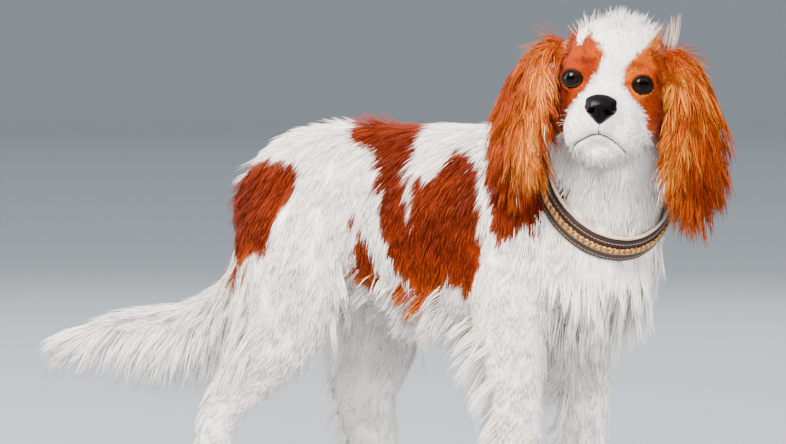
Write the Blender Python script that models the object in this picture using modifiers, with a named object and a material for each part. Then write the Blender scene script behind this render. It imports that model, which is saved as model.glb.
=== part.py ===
"""A long-coated toy spaniel, standing, as a life-size still model.

Metres, +Z up. The spine lies along X with the chest towards +X, and the head is turned to the
animal's right, towards -Y. Body places are measured from the middle of the trunk, on the floor,
and BODY_SHIFT moves them so that the model's box is centred on the origin.
"""

import math
import random
from dataclasses import dataclass

import bmesh
import bpy
import numpy as np
from mathutils import Euler, Matrix, Vector
from mathutils.bvhtree import BVHTree

# The whole animal
BODY_SHIFT = Vector((0.0853, 0.0140, 0.0))
GAP = 0.0003
LEAST_GAP = 0.00006
CUT = 0.0004
VOXEL = 0.0034
DOWN = Vector((0.0, 0.0, -1.0))
FLOOR_GAP = 0.0010
ROOT_SINK = 0.0060
MOST_MOVED = 0.0060

# The trunk with its flat coat: x, y, z of the middle, half width, half height
TRUNK = (
    (-0.203, 0.0, 0.262, 0.022, 0.024),
    (-0.194, 0.0, 0.259, 0.042, 0.044),
    (-0.172, 0.0, 0.257, 0.058, 0.060),
    (-0.138, 0.0, 0.260, 0.067, 0.073),
    (-0.095, 0.0, 0.258, 0.068, 0.080),
    (-0.045, 0.0, 0.249, 0.072, 0.089),
    (0.005, 0.0, 0.241, 0.077, 0.097),
    (0.055, 0.0, 0.237, 0.079, 0.099),
    (0.100, 0.0, 0.232, 0.076, 0.092),
    (0.142, 0.0, 0.226, 0.069, 0.078),
    (0.177, 0.0, 0.222, 0.055, 0.058),
    (0.197, 0.0, 0.220, 0.030, 0.032),
)
# The neck from inside the chest up to the skull, and the nape behind it: as the trunk
NECK = (
    (0.138, 0.014, 0.190, 0.042, 0.042),
    (0.149, 0.008, 0.235, 0.056, 0.057),
    (0.158, 0.000, 0.275, 0.057, 0.058),
    (0.162, -0.004, 0.312, 0.052, 0.055),
    (0.167, -0.009, 0.345, 0.046, 0.048),
    (0.171, -0.013, 0.372, 0.036, 0.038),
)
NAPE = (
    (0.055, 0.000, 0.274, 0.054, 0.056),
    (0.095, 0.004, 0.271, 0.052, 0.056),
    (0.126, 0.010, 0.272, 0.046, 0.053),
)
# Each leg from its root down: x, y, z, half width across, half width fore and aft
FORELEG_RIGHT = (
    (0.088, -0.046, 0.235, 0.026, 0.036),
    (0.096, -0.052, 0.195, 0.029, 0.040),
    (0.096, -0.054, 0.150, 0.026, 0.033),
    (0.099, -0.053, 0.105, 0.022, 0.027),
    (0.101, -0.052, 0.060, 0.020, 0.024),
    (0.103, -0.052, 0.030, 0.020, 0.023),
    (0.106, -0.052, 0.014, 0.017, 0.020),
)
FORELEG_LEFT = (
    (0.096, 0.046, 0.235, 0.026, 0.036),
    (0.106, 0.052, 0.195, 0.029, 0.040),
    (0.108, 0.054, 0.150, 0.026, 0.033),
    (0.111, 0.053, 0.105, 0.022, 0.027),
    (0.113, 0.052, 0.060, 0.020, 0.024),
    (0.115, 0.052, 0.030, 0.020, 0.023),
    (0.118, 0.052, 0.014, 0.017, 0.020),
)
HINDLEG_RIGHT = (
    (-0.125, -0.036, 0.275, 0.026, 0.045),
    (-0.128, -0.048, 0.235, 0.032, 0.058),
    (-0.130, -0.053, 0.190, 0.031, 0.055),
    (-0.139, -0.054, 0.145, 0.027, 0.044),
    (-0.168, -0.054, 0.108, 0.021, 0.031),
    (-0.196, -0.054, 0.080, 0.018, 0.024),
    (-0.206, -0.054, 0.048, 0.018, 0.020),
    (-0.209, -0.054, 0.024, 0.019, 0.021),
    (-0.206, -0.054, 0.012, 0.016, 0.018),
)
HINDLEG_LEFT = (
    (-0.122, 0.036, 0.275, 0.026, 0.045),
    (-0.118, 0.048, 0.235, 0.032, 0.055),
    (-0.106, 0.053, 0.190, 0.031, 0.052),
    (-0.099, 0.054, 0.150, 0.027, 0.045),
    (-0.106, 0.054, 0.115, 0.023, 0.040),
    (-0.114, 0.054, 0.084, 0.021, 0.034),
    (-0.106, 0.054, 0.048, 0.020, 0.028),
    (-0.103, 0.054, 0.024, 0.020, 0.025),
    (-0.100, 0.054, 0.012, 0.016, 0.019),
)
# The tail hangs behind the thighs and sweeps back: x, y, z, half width, half depth
TAIL = (
    (-0.168, 0.000, 0.286, 0.017, 0.017),
    (-0.190, 0.000, 0.268, 0.017, 0.017),
    (-0.199, 0.000, 0.240, 0.015, 0.016),
    (-0.206, 0.000, 0.204, 0.014, 0.015),
    (-0.224, 0.000, 0.176, 0.013, 0.016),
    (-0.258, 0.000, 0.157, 0.012, 0.016),
    (-0.300, 0.000, 0.149, 0.010, 0.014),
    (-0.344, 0.000, 0.144, 0.008, 0.010),
    (-0.380, 0.000, 0.134, 0.004, 0.005),
)
# Paws: the middle of each, and its half length, half width and height
PAW_SIZE = (0.031, 0.0235, 0.0215)
PAW_FORWARD = 0.011
TOE_RADIUS = 0.0105

# The head in its own axes, nose along +X, from a point midway between the eyes' centres
HEAD_AT = Vector((0.1915, -0.0595, 0.3680))
HEAD_TURN = math.radians(-65.5)
HEAD_ROLL = math.radians(-5.0)
HEAD_PITCH = math.radians(0.5)
# Each form of the skull and face: middle and half sizes
SKULL_FORMS = (
    ((-0.040, 0.0, 0.014), (0.054, 0.050, 0.044)),
    ((-0.012, 0.0, 0.018), (0.031, 0.040, 0.034)),
    ((-0.014, 0.0, -0.014), (0.040, 0.041, 0.034)),
    ((0.017, 0.0, -0.031), (0.033, 0.026, 0.022)),
    ((0.014, 0.0, -0.016), (0.034, 0.015, 0.013)),
    ((0.012, 0.0, -0.057), (0.026, 0.021, 0.013)),
    ((-0.020, 0.0, -0.045), (0.045, 0.033, 0.023)),
)
PAIRED_FORMS = (
    ((0.018, 0.0175, -0.038), (0.026, 0.0185, 0.023)),
    ((-0.028, 0.034, -0.020), (0.034, 0.019, 0.031)),
    ((-0.006, 0.026, 0.015), (0.014, 0.016, 0.009)),
)
EYE_AT = Vector((0.0036, 0.0282, 0.0020))
EYE_RADIUS = 0.0115
EYE_LOOK = Vector((0.950, 0.30, 0.04))
LID_RING = 0.0100
LID_THICK = 0.0024
LID_FORWARD = 0.0062
NOSE_AT = (0.0455, 0.0, -0.0185)
NOSE_SIZE = (0.0100, 0.0132, 0.0100)
NOSTRIL_AT = Vector((0.0075, 0.0062, -0.0008))
NOSTRIL_SIZE = (0.0045, 0.0025, 0.0030)

# The line of the mouth, round the upright axis of the jaw: turn from the front in degrees, height
MOUTH_LINE = (
    (0.0, -0.0430),
    (12.0, -0.0475),
    (26.0, -0.0540),
    (42.0, -0.0575),
    (60.0, -0.0575),
    (78.0, -0.0530),
)
MOUTH_AXIS_X = 0.006
PHILTRUM = (-0.0290, -0.0430)
GROOVE = 0.0011
LIP = 0.0021

# Each ear flap in the head's axes, for the left side: x, y, z, half width, half thickness
EAR = (
    (-0.034, 0.036, 0.022, 0.013, 0.0070),
    (-0.031, 0.054, 0.022, 0.018, 0.0065),
    (-0.027, 0.065, 0.006, 0.026, 0.0060),
    (-0.024, 0.072, -0.020, 0.031, 0.0055),
    (-0.022, 0.076, -0.048, 0.031, 0.0050),
    (-0.022, 0.078, -0.070, 0.023, 0.0045),
    (-0.022, 0.079, -0.086, 0.010, 0.0035),
)
EAR_FACE = Vector((0.72, 0.69, 0.0))

# The collar: its middle, its axis up the neck, and its inner half sizes down and across
COLLAR_AT = Vector((0.158, 0.000, 0.2818))
COLLAR_AXIS = Vector((0.575, -0.526, 0.627)).normalized()
COLLAR_LONG = 0.0690
COLLAR_WIDE = 0.0550
COLLAR_FLARE = 0.0030
COLLAR_WIDTH = 0.0245
COLLAR_THICK = 0.0032
COLLAR_SIDES = 36
LINING_WIDTH = 0.0030
LINING_INSET = 0.0006
BRAID_WIDTH = 0.0070
BRAID_HEIGHT = 0.0022
BRAID_BEADS = 28
BRAID_PINCH = 0.62
BUCKLE_GAP_DEG = 28.0
BUCKLE_SIZE = (0.0240, 0.0300, 0.0026)
BUCKLE_BAR = 0.0030
PRONG_SHARE = 0.8
GROOVE_DEEP = 0.022

# The planes and boxes that part the body. Head: a point and a slope in the head's axes
JAW_CUT_AT = Vector((-0.048, 0.0, -0.052))
JAW_CUT_SLOPE = math.radians(18.0)
HEAD_SPACE = ((-0.110, -0.090), (0.120, 0.090), 0.200)
NECK_SPACE = ((-0.090, -0.075), (0.095, 0.075), 0.250)
FORELEG_SPACE = ((0.050, 0.030, -0.020), (0.190, 0.120, 0.152))
THIGH_CUT_AT = Vector((-0.100, 0.0, 0.178))
THIGH_CUT_SLOPE = math.radians(24.0)
THIGH_SPACE = ((-0.200, 0.012, -0.300), (0.100, 0.150))
PAW_TOP = 0.0300
HOCK_TOP = 0.1250
TAIL_CUT_AT = Vector((-0.2200, 0.0, 0.1800))
TAIL_CUT_WAY = Vector((-0.77, 0.0, -0.64)).normalized()
FACE_TRIANGLES = 5800
BODY_TRIANGLES = 3100

# Name: colour, roughness, metallic
MATERIALS = {
    "fur_white": ((0.86, 0.84, 0.80), 0.80, 0.0),
    "fur_chestnut": ((0.36, 0.12, 0.04), 0.75, 0.0),
    "eye_dark": ((0.012, 0.008, 0.006), 0.08, 0.0),
    "nose_black": ((0.020, 0.018, 0.018), 0.45, 0.0),
    "leather_brown": ((0.035, 0.018, 0.014), 0.50, 0.0),
    "leather_cream": ((0.55, 0.44, 0.30), 0.60, 0.0),
    "braid_gold": ((0.52, 0.33, 0.10), 0.45, 0.0),
    "buckle_steel": ((0.60, 0.58, 0.55), 0.25, 1.0),
}


def clear_scene():
    """Removes what the startup scene holds."""
    for obj in list(bpy.data.objects):
        bpy.data.objects.remove(obj, do_unlink=True)


def mesh_object(name, points, faces):
    """A new object from points and faces."""
    mesh = bpy.data.meshes.new(name)
    mesh.from_pydata([tuple(p) for p in points], [], faces)
    obj = bpy.data.objects.new(name, mesh)
    bpy.context.scene.collection.objects.link(obj)
    return obj


def smooth_path(rows, steps):
    """Rows of numbers, with steps more rows on a smooth curve between each pair."""
    rows = [np.array(row, float) for row in rows]
    ends = [2 * rows[0] - rows[1]] + rows + [2 * rows[-1] - rows[-2]]
    out = []
    for i in range(1, len(ends) - 2):
        a, b, c, d = ends[i - 1 : i + 3]
        for k in range(steps):
            t = k / steps
            out.append(
                0.5 * (2 * b + (c - a) * t + (2 * a - 5 * b + 4 * c - d) * t**2
                       + (3 * b - a - 3 * c + d) * t**3)
            )
    return out + [rows[-1]]


def limb(name, stations, sides=20, steps=3):
    """A closed tube through stations of x, y, z, half width across Y and half depth."""
    rows = smooth_path(stations, steps)
    centres = [Vector(row[:3]) for row in rows]
    points, faces = [], []
    for i, row in enumerate(rows):
        along = (centres[min(i + 1, len(rows) - 1)] - centres[max(i - 1, 0)]).normalized()
        side = (Vector((0, 1, 0)) - along * along.y).normalized()
        up = along.cross(side)
        for k in range(sides):
            turn = 2 * math.pi * k / sides
            points.append(centres[i] + side * row[3] * math.cos(turn) + up * row[4] * math.sin(turn))
    for i in range(len(rows) - 1):
        for k in range(sides):
            a, b = i * sides + k, i * sides + (k + 1) % sides
            faces.append((a, b, b + sides, a + sides))
    faces.append(tuple(reversed(range(sides))))
    faces.append(tuple(range(len(points) - sides, len(points))))
    obj = mesh_object(name, points, faces)
    face_out(obj)
    return obj


def face_out(obj):
    """Turns every face of a closed mesh outwards."""
    shape = bmesh.new()
    shape.from_mesh(obj.data)
    bmesh.ops.recalc_face_normals(shape, faces=shape.faces)
    if shape.calc_volume(signed=True) < 0:
        bmesh.ops.reverse_faces(shape, faces=shape.faces)
    shape.to_mesh(obj.data)
    shape.free()


def ellipsoid(name, centre, sizes, matrix=Matrix.Identity(4), rings=14):
    """A sphere stretched to three half sizes."""
    shape = bmesh.new()
    bmesh.ops.create_uvsphere(shape, u_segments=2 * rings, v_segments=rings, radius=1.0)
    bmesh.ops.transform(
        shape, verts=shape.verts, matrix=matrix @ Matrix.Translation(centre) @ Matrix.Diagonal((*sizes, 1.0))
    )
    mesh = bpy.data.meshes.new(name)
    shape.to_mesh(mesh)
    shape.free()
    obj = bpy.data.objects.new(name, mesh)
    bpy.context.scene.collection.objects.link(obj)
    return obj


def head_matrix():
    """From the head's own axes to the body's."""
    turn = Euler((HEAD_ROLL, HEAD_PITCH, 0.0)).to_matrix().to_4x4()
    return Matrix.Translation(HEAD_AT) @ Matrix.Rotation(HEAD_TURN, 4, "Z") @ turn


def flesh_pieces():
    """Every plain form of the body and head, overlapping."""
    pieces = [limb("trunk", TRUNK), limb("neck", NECK), limb("nape", NAPE)]
    head = head_matrix()
    for number, leg in enumerate((FORELEG_RIGHT, FORELEG_LEFT, HINDLEG_RIGHT, HINDLEG_LEFT)):
        pieces.append(limb(f"leg_{number}", leg))
        pieces += paw_forms(leg[-1])
    for centre, sizes in SKULL_FORMS:
        pieces.append(ellipsoid("form", centre, sizes, head))
    for (x, y, z), sizes in PAIRED_FORMS:
        for side in (-1, 1):
            pieces.append(ellipsoid("form", (x, side * y, z), sizes, head))
    return pieces


def paw_forms(ankle):
    """The pad of a paw and its four toes, under the last station of a leg."""
    x, y = ankle[0] + PAW_FORWARD, ankle[1]
    long, wide, high = PAW_SIZE
    forms = [ellipsoid("paw", (x - 0.004, y, 0.012), (long * 0.8, wide, high * 0.85))]
    for k in (-1.5, -0.5, 0.5, 1.5):
        reach = long - TOE_RADIUS - 0.004 * abs(k)
        forms.append(ellipsoid("toe", (x + reach, y + k * 0.0102, 0.0095), (0.0125, 0.0072, TOE_RADIUS)))
    return forms


def joined(name, pieces):
    """Several objects as one."""
    bpy.ops.object.select_all(action="DESELECT")
    for piece in pieces:
        piece.select_set(True)
    bpy.context.view_layer.objects.active = pieces[0]
    bpy.ops.object.join()
    whole = bpy.context.view_layer.objects.active
    whole.name = name
    return whole


def fused(name, pieces, voxel, rounds):
    """The pieces as one smooth closed skin."""
    whole = joined(name, pieces)
    remesh = whole.modifiers.new("skin", "REMESH")
    remesh.mode = "VOXEL"
    remesh.voxel_size = voxel
    smooth = whole.modifiers.new("soften", "SMOOTH")
    smooth.factor = 0.5
    smooth.iterations = rounds
    return applied(whole)


def applied(obj):
    """The object with its modifiers made part of its mesh."""
    graph = bpy.context.evaluated_depsgraph_get()
    mesh = bpy.data.meshes.new_from_object(obj.evaluated_get(graph))
    old = obj.data
    obj.modifiers.clear()
    obj.data = mesh
    bpy.data.meshes.remove(old)
    return obj


def copy_of(obj, name):
    """A second object with its own mesh."""
    twin = bpy.data.objects.new(name, obj.data.copy())
    twin.matrix_world = obj.matrix_world
    bpy.context.scene.collection.objects.link(twin)
    return twin


def thinned(obj, triangles):
    """The object with about that many triangles."""
    obj.data.calc_loop_triangles()
    share = triangles / len(obj.data.loop_triangles)
    if share < 1.0:
        fewer = obj.modifiers.new("fewer", "DECIMATE")
        fewer.ratio = share
        fewer.use_collapse_triangulate = True
        applied(obj)
    return obj


def swollen(obj, by, name="swollen"):
    """A copy with its surface moved out by a distance."""
    twin = copy_of(obj, name)
    push = twin.modifiers.new("swell", "DISPLACE")
    push.mid_level = 0.0
    push.strength = by
    return applied(twin)


def combined(obj, others, operation):
    """The object joined with, or cut by, a collection of closed meshes, which are then removed."""
    group = bpy.data.collections.new("tools")
    for other in others:
        group.objects.link(other)
    step = obj.modifiers.new(operation.lower(), "BOOLEAN")
    step.operation = operation
    step.operand_type = "COLLECTION"
    step.collection = group
    step.solver = "MANIFOLD"
    applied(obj)
    for other in list(group.objects):
        bpy.data.objects.remove(other, do_unlink=True)
    bpy.data.collections.remove(group)
    return largest(obj)


def cut(obj, cutter):
    """The object less one cutter."""
    return combined(obj, [cutter], "DIFFERENCE")


def kept(obj, region):
    """What of the object lies in a region."""
    step = obj.modifiers.new("keep", "BOOLEAN")
    step.operation = "INTERSECT"
    step.object = region
    step.solver = "MANIFOLD"
    applied(obj)
    bpy.data.objects.remove(region, do_unlink=True)
    return largest(obj)


def largest(obj):
    """Drops every closed surface of the mesh but the largest."""
    shape = bmesh.new()
    shape.from_mesh(obj.data)
    waiting, bodies = set(shape.faces), []
    while waiting:
        body, edge = set(), [waiting.pop()]
        while edge:
            face = edge.pop()
            body.add(face)
            for side in face.edges:
                for other in side.link_faces:
                    if other in waiting:
                        waiting.discard(other)
                        edge.append(other)
        bodies.append(body)
    bodies.sort(key=extent)
    spare = [face for body in bodies[:-1] for face in body]
    bmesh.ops.delete(shape, geom=spare, context="FACES")
    shape.to_mesh(obj.data)
    shape.free()
    return obj


def extent(body):
    """How far a set of faces reaches, corner to corner."""
    places = np.array([vert.co for face in body for vert in face.verts])
    return float(np.linalg.norm(places.max(0) - places.min(0)))


def box(name, low, high, matrix=Matrix.Identity(4)):
    """A box between two corners."""
    shape = bmesh.new()
    bmesh.ops.create_cube(shape, size=1.0)
    low, high = Vector(low), Vector(high)
    size = Matrix.Diagonal((*(high - low), 1.0))
    bmesh.ops.transform(shape, verts=shape.verts, matrix=matrix @ Matrix.Translation((low + high) / 2) @ size)
    mesh = bpy.data.meshes.new(name)
    shape.to_mesh(mesh)
    shape.free()
    obj = bpy.data.objects.new(name, mesh)
    bpy.context.scene.collection.objects.link(obj)
    return obj


def head_space(offset):
    """The space above the cut behind the jaw, which starts at an offset."""
    tilt = Matrix.Translation(JAW_CUT_AT) @ Matrix.Rotation(JAW_CUT_SLOPE, 4, "Y")
    (x0, y0), (x1, y1), top = HEAD_SPACE
    return box("head_space", (x0, y0, offset), (x1, y1, top), head_matrix() @ tilt)


def collar_matrix():
    """From the collar's axes, +Z up the neck and +X to its lowest place, to the body's."""
    down = (Vector((0, 0, -1)) + COLLAR_AXIS * COLLAR_AXIS.z).normalized()
    side = COLLAR_AXIS.cross(down)
    turn = Matrix((down, side, COLLAR_AXIS)).transposed().to_4x4()
    return Matrix.Translation(COLLAR_AT) @ turn


def neck_space(offset):
    """The space above the middle plane of the collar, which starts at an offset."""
    (x0, y0), (x1, y1), top = NECK_SPACE
    return box("neck_space", (x0, y0, offset), (x1, y1, top), collar_matrix())


def collar_point(turn, out, height):
    """A place on the collar: turn from its lowest place, distance outside its lining, and height."""
    grow = out - COLLAR_FLARE * height / COLLAR_WIDTH
    place = Vector((
        (COLLAR_LONG + grow) * math.cos(turn),
        (COLLAR_WIDE + grow) * math.sin(turn),
        height,
    ))
    return collar_matrix() @ place


def hoop(name, section, sides, first=0.0, last=2 * math.pi):
    """A ring, or part of one, whose section gives the corners (out, height) of each step."""
    whole = last - first > 2 * math.pi - 0.001
    steps = sides if whole else sides + 1
    points, faces = [], []
    for k in range(steps):
        corners = section(k)
        turn = first + (last - first) * k / sides
        points += [collar_point(turn, out, height) for out, height in corners]
    count = len(corners)
    for k in range(sides):
        for n in range(count):
            a, b = k * count + n, k * count + (n + 1) % count
            c, d = ((k + 1) % steps) * count + n, ((k + 1) % steps) * count + (n + 1) % count
            faces.append((a, b, d, c))
    if not whole:
        faces.append(tuple(range(count)))
        faces.append(tuple(range(len(points) - count, len(points))))
    obj = mesh_object(name, points, faces)
    face_out(obj)
    return obj


def collar_nodes():
    """The strap, the pale lining that shows above it, the plaited cord and the buckle."""
    half = COLLAR_WIDTH / 2
    flat = ((0.0, -half), (COLLAR_THICK, -half), (COLLAR_THICK, half), (0.0, half))
    low, high = half + GAP, half + GAP + LINING_WIDTH
    outer = COLLAR_THICK - LINING_INSET
    edge = ((0.0, low), (outer, low), (outer, high), (0.0, high))

    def plait(k):
        """The cord's low triangular section, pinched at every second step."""
        wide = BRAID_WIDTH / 2 * (BRAID_PINCH if k % 2 else 1.0)
        top = COLLAR_THICK + GAP
        rise = BRAID_HEIGHT * (BRAID_PINCH if k % 2 else 1.0)
        return ((top, -wide), (top + rise, 0.0), (top, wide))

    strap = hoop("collar_strap", lambda k: flat, COLLAR_SIDES)
    lining = hoop("collar_lining", lambda k: edge, COLLAR_SIDES)
    gap = math.radians(BUCKLE_GAP_DEG)
    braid = hoop("collar_braid", plait, 2 * BRAID_BEADS, gap - math.pi, math.pi - gap)
    return [(strap, "leather_brown"), (lining, "leather_cream"), (braid, "braid_gold"),
            (buckle_node(), "buckle_steel")]


def buckle_matrix():
    """The middle of the buckle's underside, on the strap at the nape; its outside is towards -X."""
    lean = Matrix.Rotation(math.atan(COLLAR_FLARE / COLLAR_WIDTH), 4, "Y")
    return collar_matrix() @ Matrix.Translation((-COLLAR_LONG - COLLAR_THICK - GAP, 0.0, 0.0)) @ lean


def buckle_node():
    """A square frame with its prong, flat on the strap at the nape."""
    long, wide, thick = BUCKLE_SIZE
    face = buckle_matrix()
    frame = box("collar_buckle", (-thick, -long / 2, -wide / 2), (0.0, long / 2, wide / 2), face)
    inside = (long / 2 - BUCKLE_BAR, wide / 2 - BUCKLE_BAR)
    hole = box("hole", (-2 * thick, -inside[0], -inside[1]), (thick, inside[0], inside[1]), face)
    reach, low = long / 2 - BUCKLE_BAR / 2, thick * (1 - PRONG_SHARE) / 2
    prong = box("prong", (low - thick, -reach, -BUCKLE_BAR / 2), (-low, reach, BUCKLE_BAR / 2), face)
    return combined(cut(frame, hole), [prong], "UNION")


def clear_of_collar(obj):
    """Cuts a node of the body back from the collar and its buckle."""
    half = COLLAR_WIDTH / 2 + GAP
    top = half + LINING_WIDTH + GAP
    deep = COLLAR_THICK + GROOVE_DEEP
    corners = ((-GAP, -half), (deep, -half), (deep, top), (-GAP, top))
    groove = hoop("groove", lambda k: corners, COLLAR_SIDES)
    long, wide, thick = BUCKLE_SIZE
    reach = (long / 2 + GAP, wide / 2 + GAP)
    room = box("room", (-GROOVE_DEEP, -reach[0], -reach[1]), (0.0, reach[0], reach[1]), buckle_matrix())
    return cut(cut(obj, groove), room)


def ear_stations(side):
    """The ear's stations in the body's axes, for side 1 on the left or -1 on the right."""
    head = head_matrix()
    rows = []
    for x, y, z, wide, thick in EAR:
        rows.append((*(head @ Vector((x, side * y, z))), wide, thick))
    return rows


def flat_frames(stations, face, steps):
    """For each place along a flat form: its middle, way along, way across, way out, half sizes."""
    rows = smooth_path(stations, steps)
    centres = [Vector(row[:3]) for row in rows]
    frames = []
    for i, row in enumerate(rows):
        along = (centres[min(i + 1, len(rows) - 1)] - centres[max(i - 1, 0)]).normalized()
        out = (face - along * along.dot(face)).normalized()
        frames.append((centres[i], along, along.cross(out), out, row[3], row[4]))
    return frames


def flap(name, stations, face, sides=10, steps=2):
    """A closed flat tube whose broad sides look along face."""
    frames = flat_frames(stations, face, steps)
    points, faces = [], []
    for middle, along, across, out, wide, thick in frames:
        for k in range(sides):
            turn = 2 * math.pi * k / sides
            points.append(middle + across * wide * math.cos(turn) + out * thick * math.sin(turn))
    for i in range(len(frames) - 1):
        for k in range(sides):
            a, b = i * sides + k, i * sides + (k + 1) % sides
            faces.append((a, b, b + sides, a + sides))
    faces.append(tuple(reversed(range(sides))))
    faces.append(tuple(range(len(points) - sides, len(points))))
    obj = mesh_object(name, points, faces)
    face_out(obj)
    return obj


def eye_nodes():
    """The two eyeballs."""
    eyes = {}
    for side, name in ((-1, "eye_right"), (1, "eye_left")):
        place = (EYE_AT.x, side * EYE_AT.y, EYE_AT.z)
        eyes[name] = ellipsoid(name, place, (EYE_RADIUS,) * 3, head_matrix(), 7)
    return eyes


def lid_rings():
    """The rims of the lids, one round each eye."""
    rings = []
    for side in (-1, 1):
        look = Vector((EYE_LOOK.x, side * EYE_LOOK.y, EYE_LOOK.z)).normalized()
        middle = Vector((EYE_AT.x, side * EYE_AT.y, EYE_AT.z)) + look * LID_FORWARD
        matrix = head_matrix() @ Matrix.Translation(middle) @ look.to_track_quat("Z", "Y").to_matrix().to_4x4()
        bpy.ops.mesh.primitive_torus_add(
            major_radius=LID_RING, minor_radius=LID_THICK, major_segments=16, minor_segments=6)
        lids = bpy.context.view_layer.objects.active
        lids.data.transform(matrix)
        rings.append(lids)
    return rings


def surface_tube(name, places, radius, sides=4):
    """A closed thin tube through places."""
    return limb(name, [(*place, radius, radius) for place in places], sides, 1)


def mouth_places(surface, drop):
    """Places on the face along the line of the mouth, from corner to corner, lower by drop."""
    matrix = head_matrix()
    rows = smooth_path(MOUTH_LINE, 2)
    turns = [(-turn, height) for turn, height in reversed(rows[1:])] + [(t, h) for t, h in rows]
    places = []
    for turn, height in turns:
        way = Vector((math.cos(math.radians(turn)), math.sin(math.radians(turn)), 0.0))
        axis = Vector((MOUTH_AXIS_X, 0.0, height - drop))
        start = matrix @ (axis + way * 0.10)
        end = matrix @ axis
        hit = surface.ray_cast(start, (end - start).normalized())[0]
        places.append(hit if hit else end)
    return places


def dress_face(face):
    """Adds the lids and the lower lip to the head, then cuts the mouth and the philtrum."""
    surface = BVHTree.FromObject(face, bpy.context.evaluated_depsgraph_get())
    places = mouth_places(surface, LIP)
    lip = surface_tube("lip", places[3:-3], LIP)
    face = combined(face, lid_rings() + [lip], "UNION")
    surface = BVHTree.FromObject(face, bpy.context.evaluated_depsgraph_get())
    line = surface_tube("mouth", mouth_places(surface, 0.0), GROOVE)
    matrix = head_matrix()
    middle = []
    for k in range(4):
        height = PHILTRUM[0] + (PHILTRUM[1] - PHILTRUM[0]) * k / 3
        start = matrix @ Vector((0.10, 0.0, height))
        middle.append(surface.ray_cast(start, (matrix @ Vector((0.0, 0.0, height)) - start).normalized())[0])
    face = cut(face, line)
    face = cut(face, surface_tube("philtrum", middle, GROOVE * 0.8, 4))
    for side in (-1, 1):
        place = (EYE_AT.x, side * EYE_AT.y, EYE_AT.z)
        face = cut(face, ellipsoid("socket", place, (EYE_RADIUS + GAP,) * 3, matrix, 7))
    sizes = [size + GAP for size in NOSE_SIZE]
    return cut(face, ellipsoid("nose_room", NOSE_AT, sizes, matrix, 7))


def nose_node():
    """The nose pad with its two nostrils."""
    matrix = head_matrix()
    nose = ellipsoid("nose", NOSE_AT, NOSE_SIZE, matrix, 7)
    for side in (-1, 1):
        place = Vector(NOSE_AT) + Vector((NOSTRIL_AT.x, side * NOSTRIL_AT.y, NOSTRIL_AT.z))
        nose = cut(nose, ellipsoid("nostril", place, NOSTRIL_SIZE, matrix, 5))
    return nose


def ear_face(side):
    """The way that the outside of an ear looks."""
    return head_matrix().to_3x3() @ Vector((EAR_FACE.x, side * EAR_FACE.y, 0.0))


def ear_node(side, name):
    """One ear flap with its cup."""
    face = ear_face(side)
    rows = ear_stations(side)
    ear = flap(name, rows, face)
    along = (Vector(rows[3][:3]) - Vector(rows[1][:3])).normalized()
    out = (face - along * along.dot(face)).normalized()
    turn = Matrix((along.cross(out), along, out)).transposed().to_4x4()
    middle = Vector(rows[2][:3]) - out * rows[2][4] * 1.1
    sizes = (rows[2][3] * 0.62, 0.022, rows[2][4] * 0.9)
    return cut(ear, ellipsoid("cup", (0, 0, 0), sizes, Matrix.Translation(middle) @ turn, 7))


def clear_of(obj, others):
    """Cuts an object back to a gap from each of the others."""
    for other in others:
        for gap in (GAP, LEAST_GAP, 0.0):
            obj = cut(obj, swollen(other, gap))
    return obj


def leg_space(side, grow):
    """The space of one foreleg below the elbow, for side 1 on the left or -1 on the right."""
    (x0, y0, z0), (x1, y1, z1) = FORELEG_SPACE
    low, high = sorted((side * (y0 - grow), side * (y1 + grow)))
    return box("leg_space", (x0 - grow, low, z0), (x1 + grow, high, z1 + grow))


def thigh_space(side, grow):
    """The space of one hind leg below the flank, for side 1 on the left or -1 on the right."""
    tilt = Matrix.Translation(THIGH_CUT_AT) @ Matrix.Rotation(THIGH_CUT_SLOPE, 4, "Y")
    (x0, y0, z0), (x1, y1) = THIGH_SPACE
    low, high = sorted((side * (y0 - grow), side * y1))
    return box("thigh_space", (x0, low, z0), (x1, high, grow), tilt)


def flesh_nodes():
    """The body parted into its nodes, without locks. Its paws reach below the floor until the last cut."""
    body = fused("body", flesh_pieces(), VOXEL, 6)
    face = thinned(copy_of(body, "head"), FACE_TRIANGLES)
    body = thinned(body, BODY_TRIANGLES)
    nodes = {"head": clear_of_collar(dress_face(kept(face, head_space(CUT / 2))))}
    neck = cut(copy_of(body, "neck"), head_space(-CUT / 2))
    nodes["neck"] = clear_of_collar(kept(neck, neck_space(CUT / 2)))
    torso = cut(body, neck_space(-CUT / 2))
    torso = clear_of_collar(cut(torso, head_space(-CUT / 2)))
    for side, end in ((-1, "right"), (1, "left")):
        fore = kept(copy_of(torso, "foreleg"), leg_space(side, 0.0))
        torso = cut(torso, leg_space(side, CUT))
        hind = kept(copy_of(torso, "hindleg"), thigh_space(side, 0.0))
        torso = cut(torso, thigh_space(side, CUT))
        sliced(nodes, fore, (f"forepaw_{end}", f"foreleg_{end}"), (PAW_TOP,))
        sliced(nodes, hind, (f"hindpaw_{end}", f"hock_{end}", f"thigh_{end}"), (PAW_TOP, HOCK_TOP))
    torso.name = "torso"
    nodes["torso"] = torso
    nodes["ear_right"] = ear_node(-1, "ear_right")
    nodes["ear_left"] = ear_node(1, "ear_left")
    tail = clear_of(limb("tail", TAIL, 8, 2), [torso])
    nodes["tail_base"] = kept(copy_of(tail, "tail_base"), tail_space(CUT))
    nodes["tail_plume"] = cut(tail, tail_space(0.0))
    tail.name = "tail_plume"
    return nodes


def sliced(nodes, leg, names, heights):
    """Parts a leg at level cuts into named nodes, from the floor up."""
    low = -0.1
    for name, high in zip(names, (*heights, 1.0)):
        nodes[name] = kept(copy_of(leg, name), box("slice", (-1, -1, low), (1, 1, high)))
        low = high + CUT
    bpy.data.objects.remove(leg)


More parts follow.
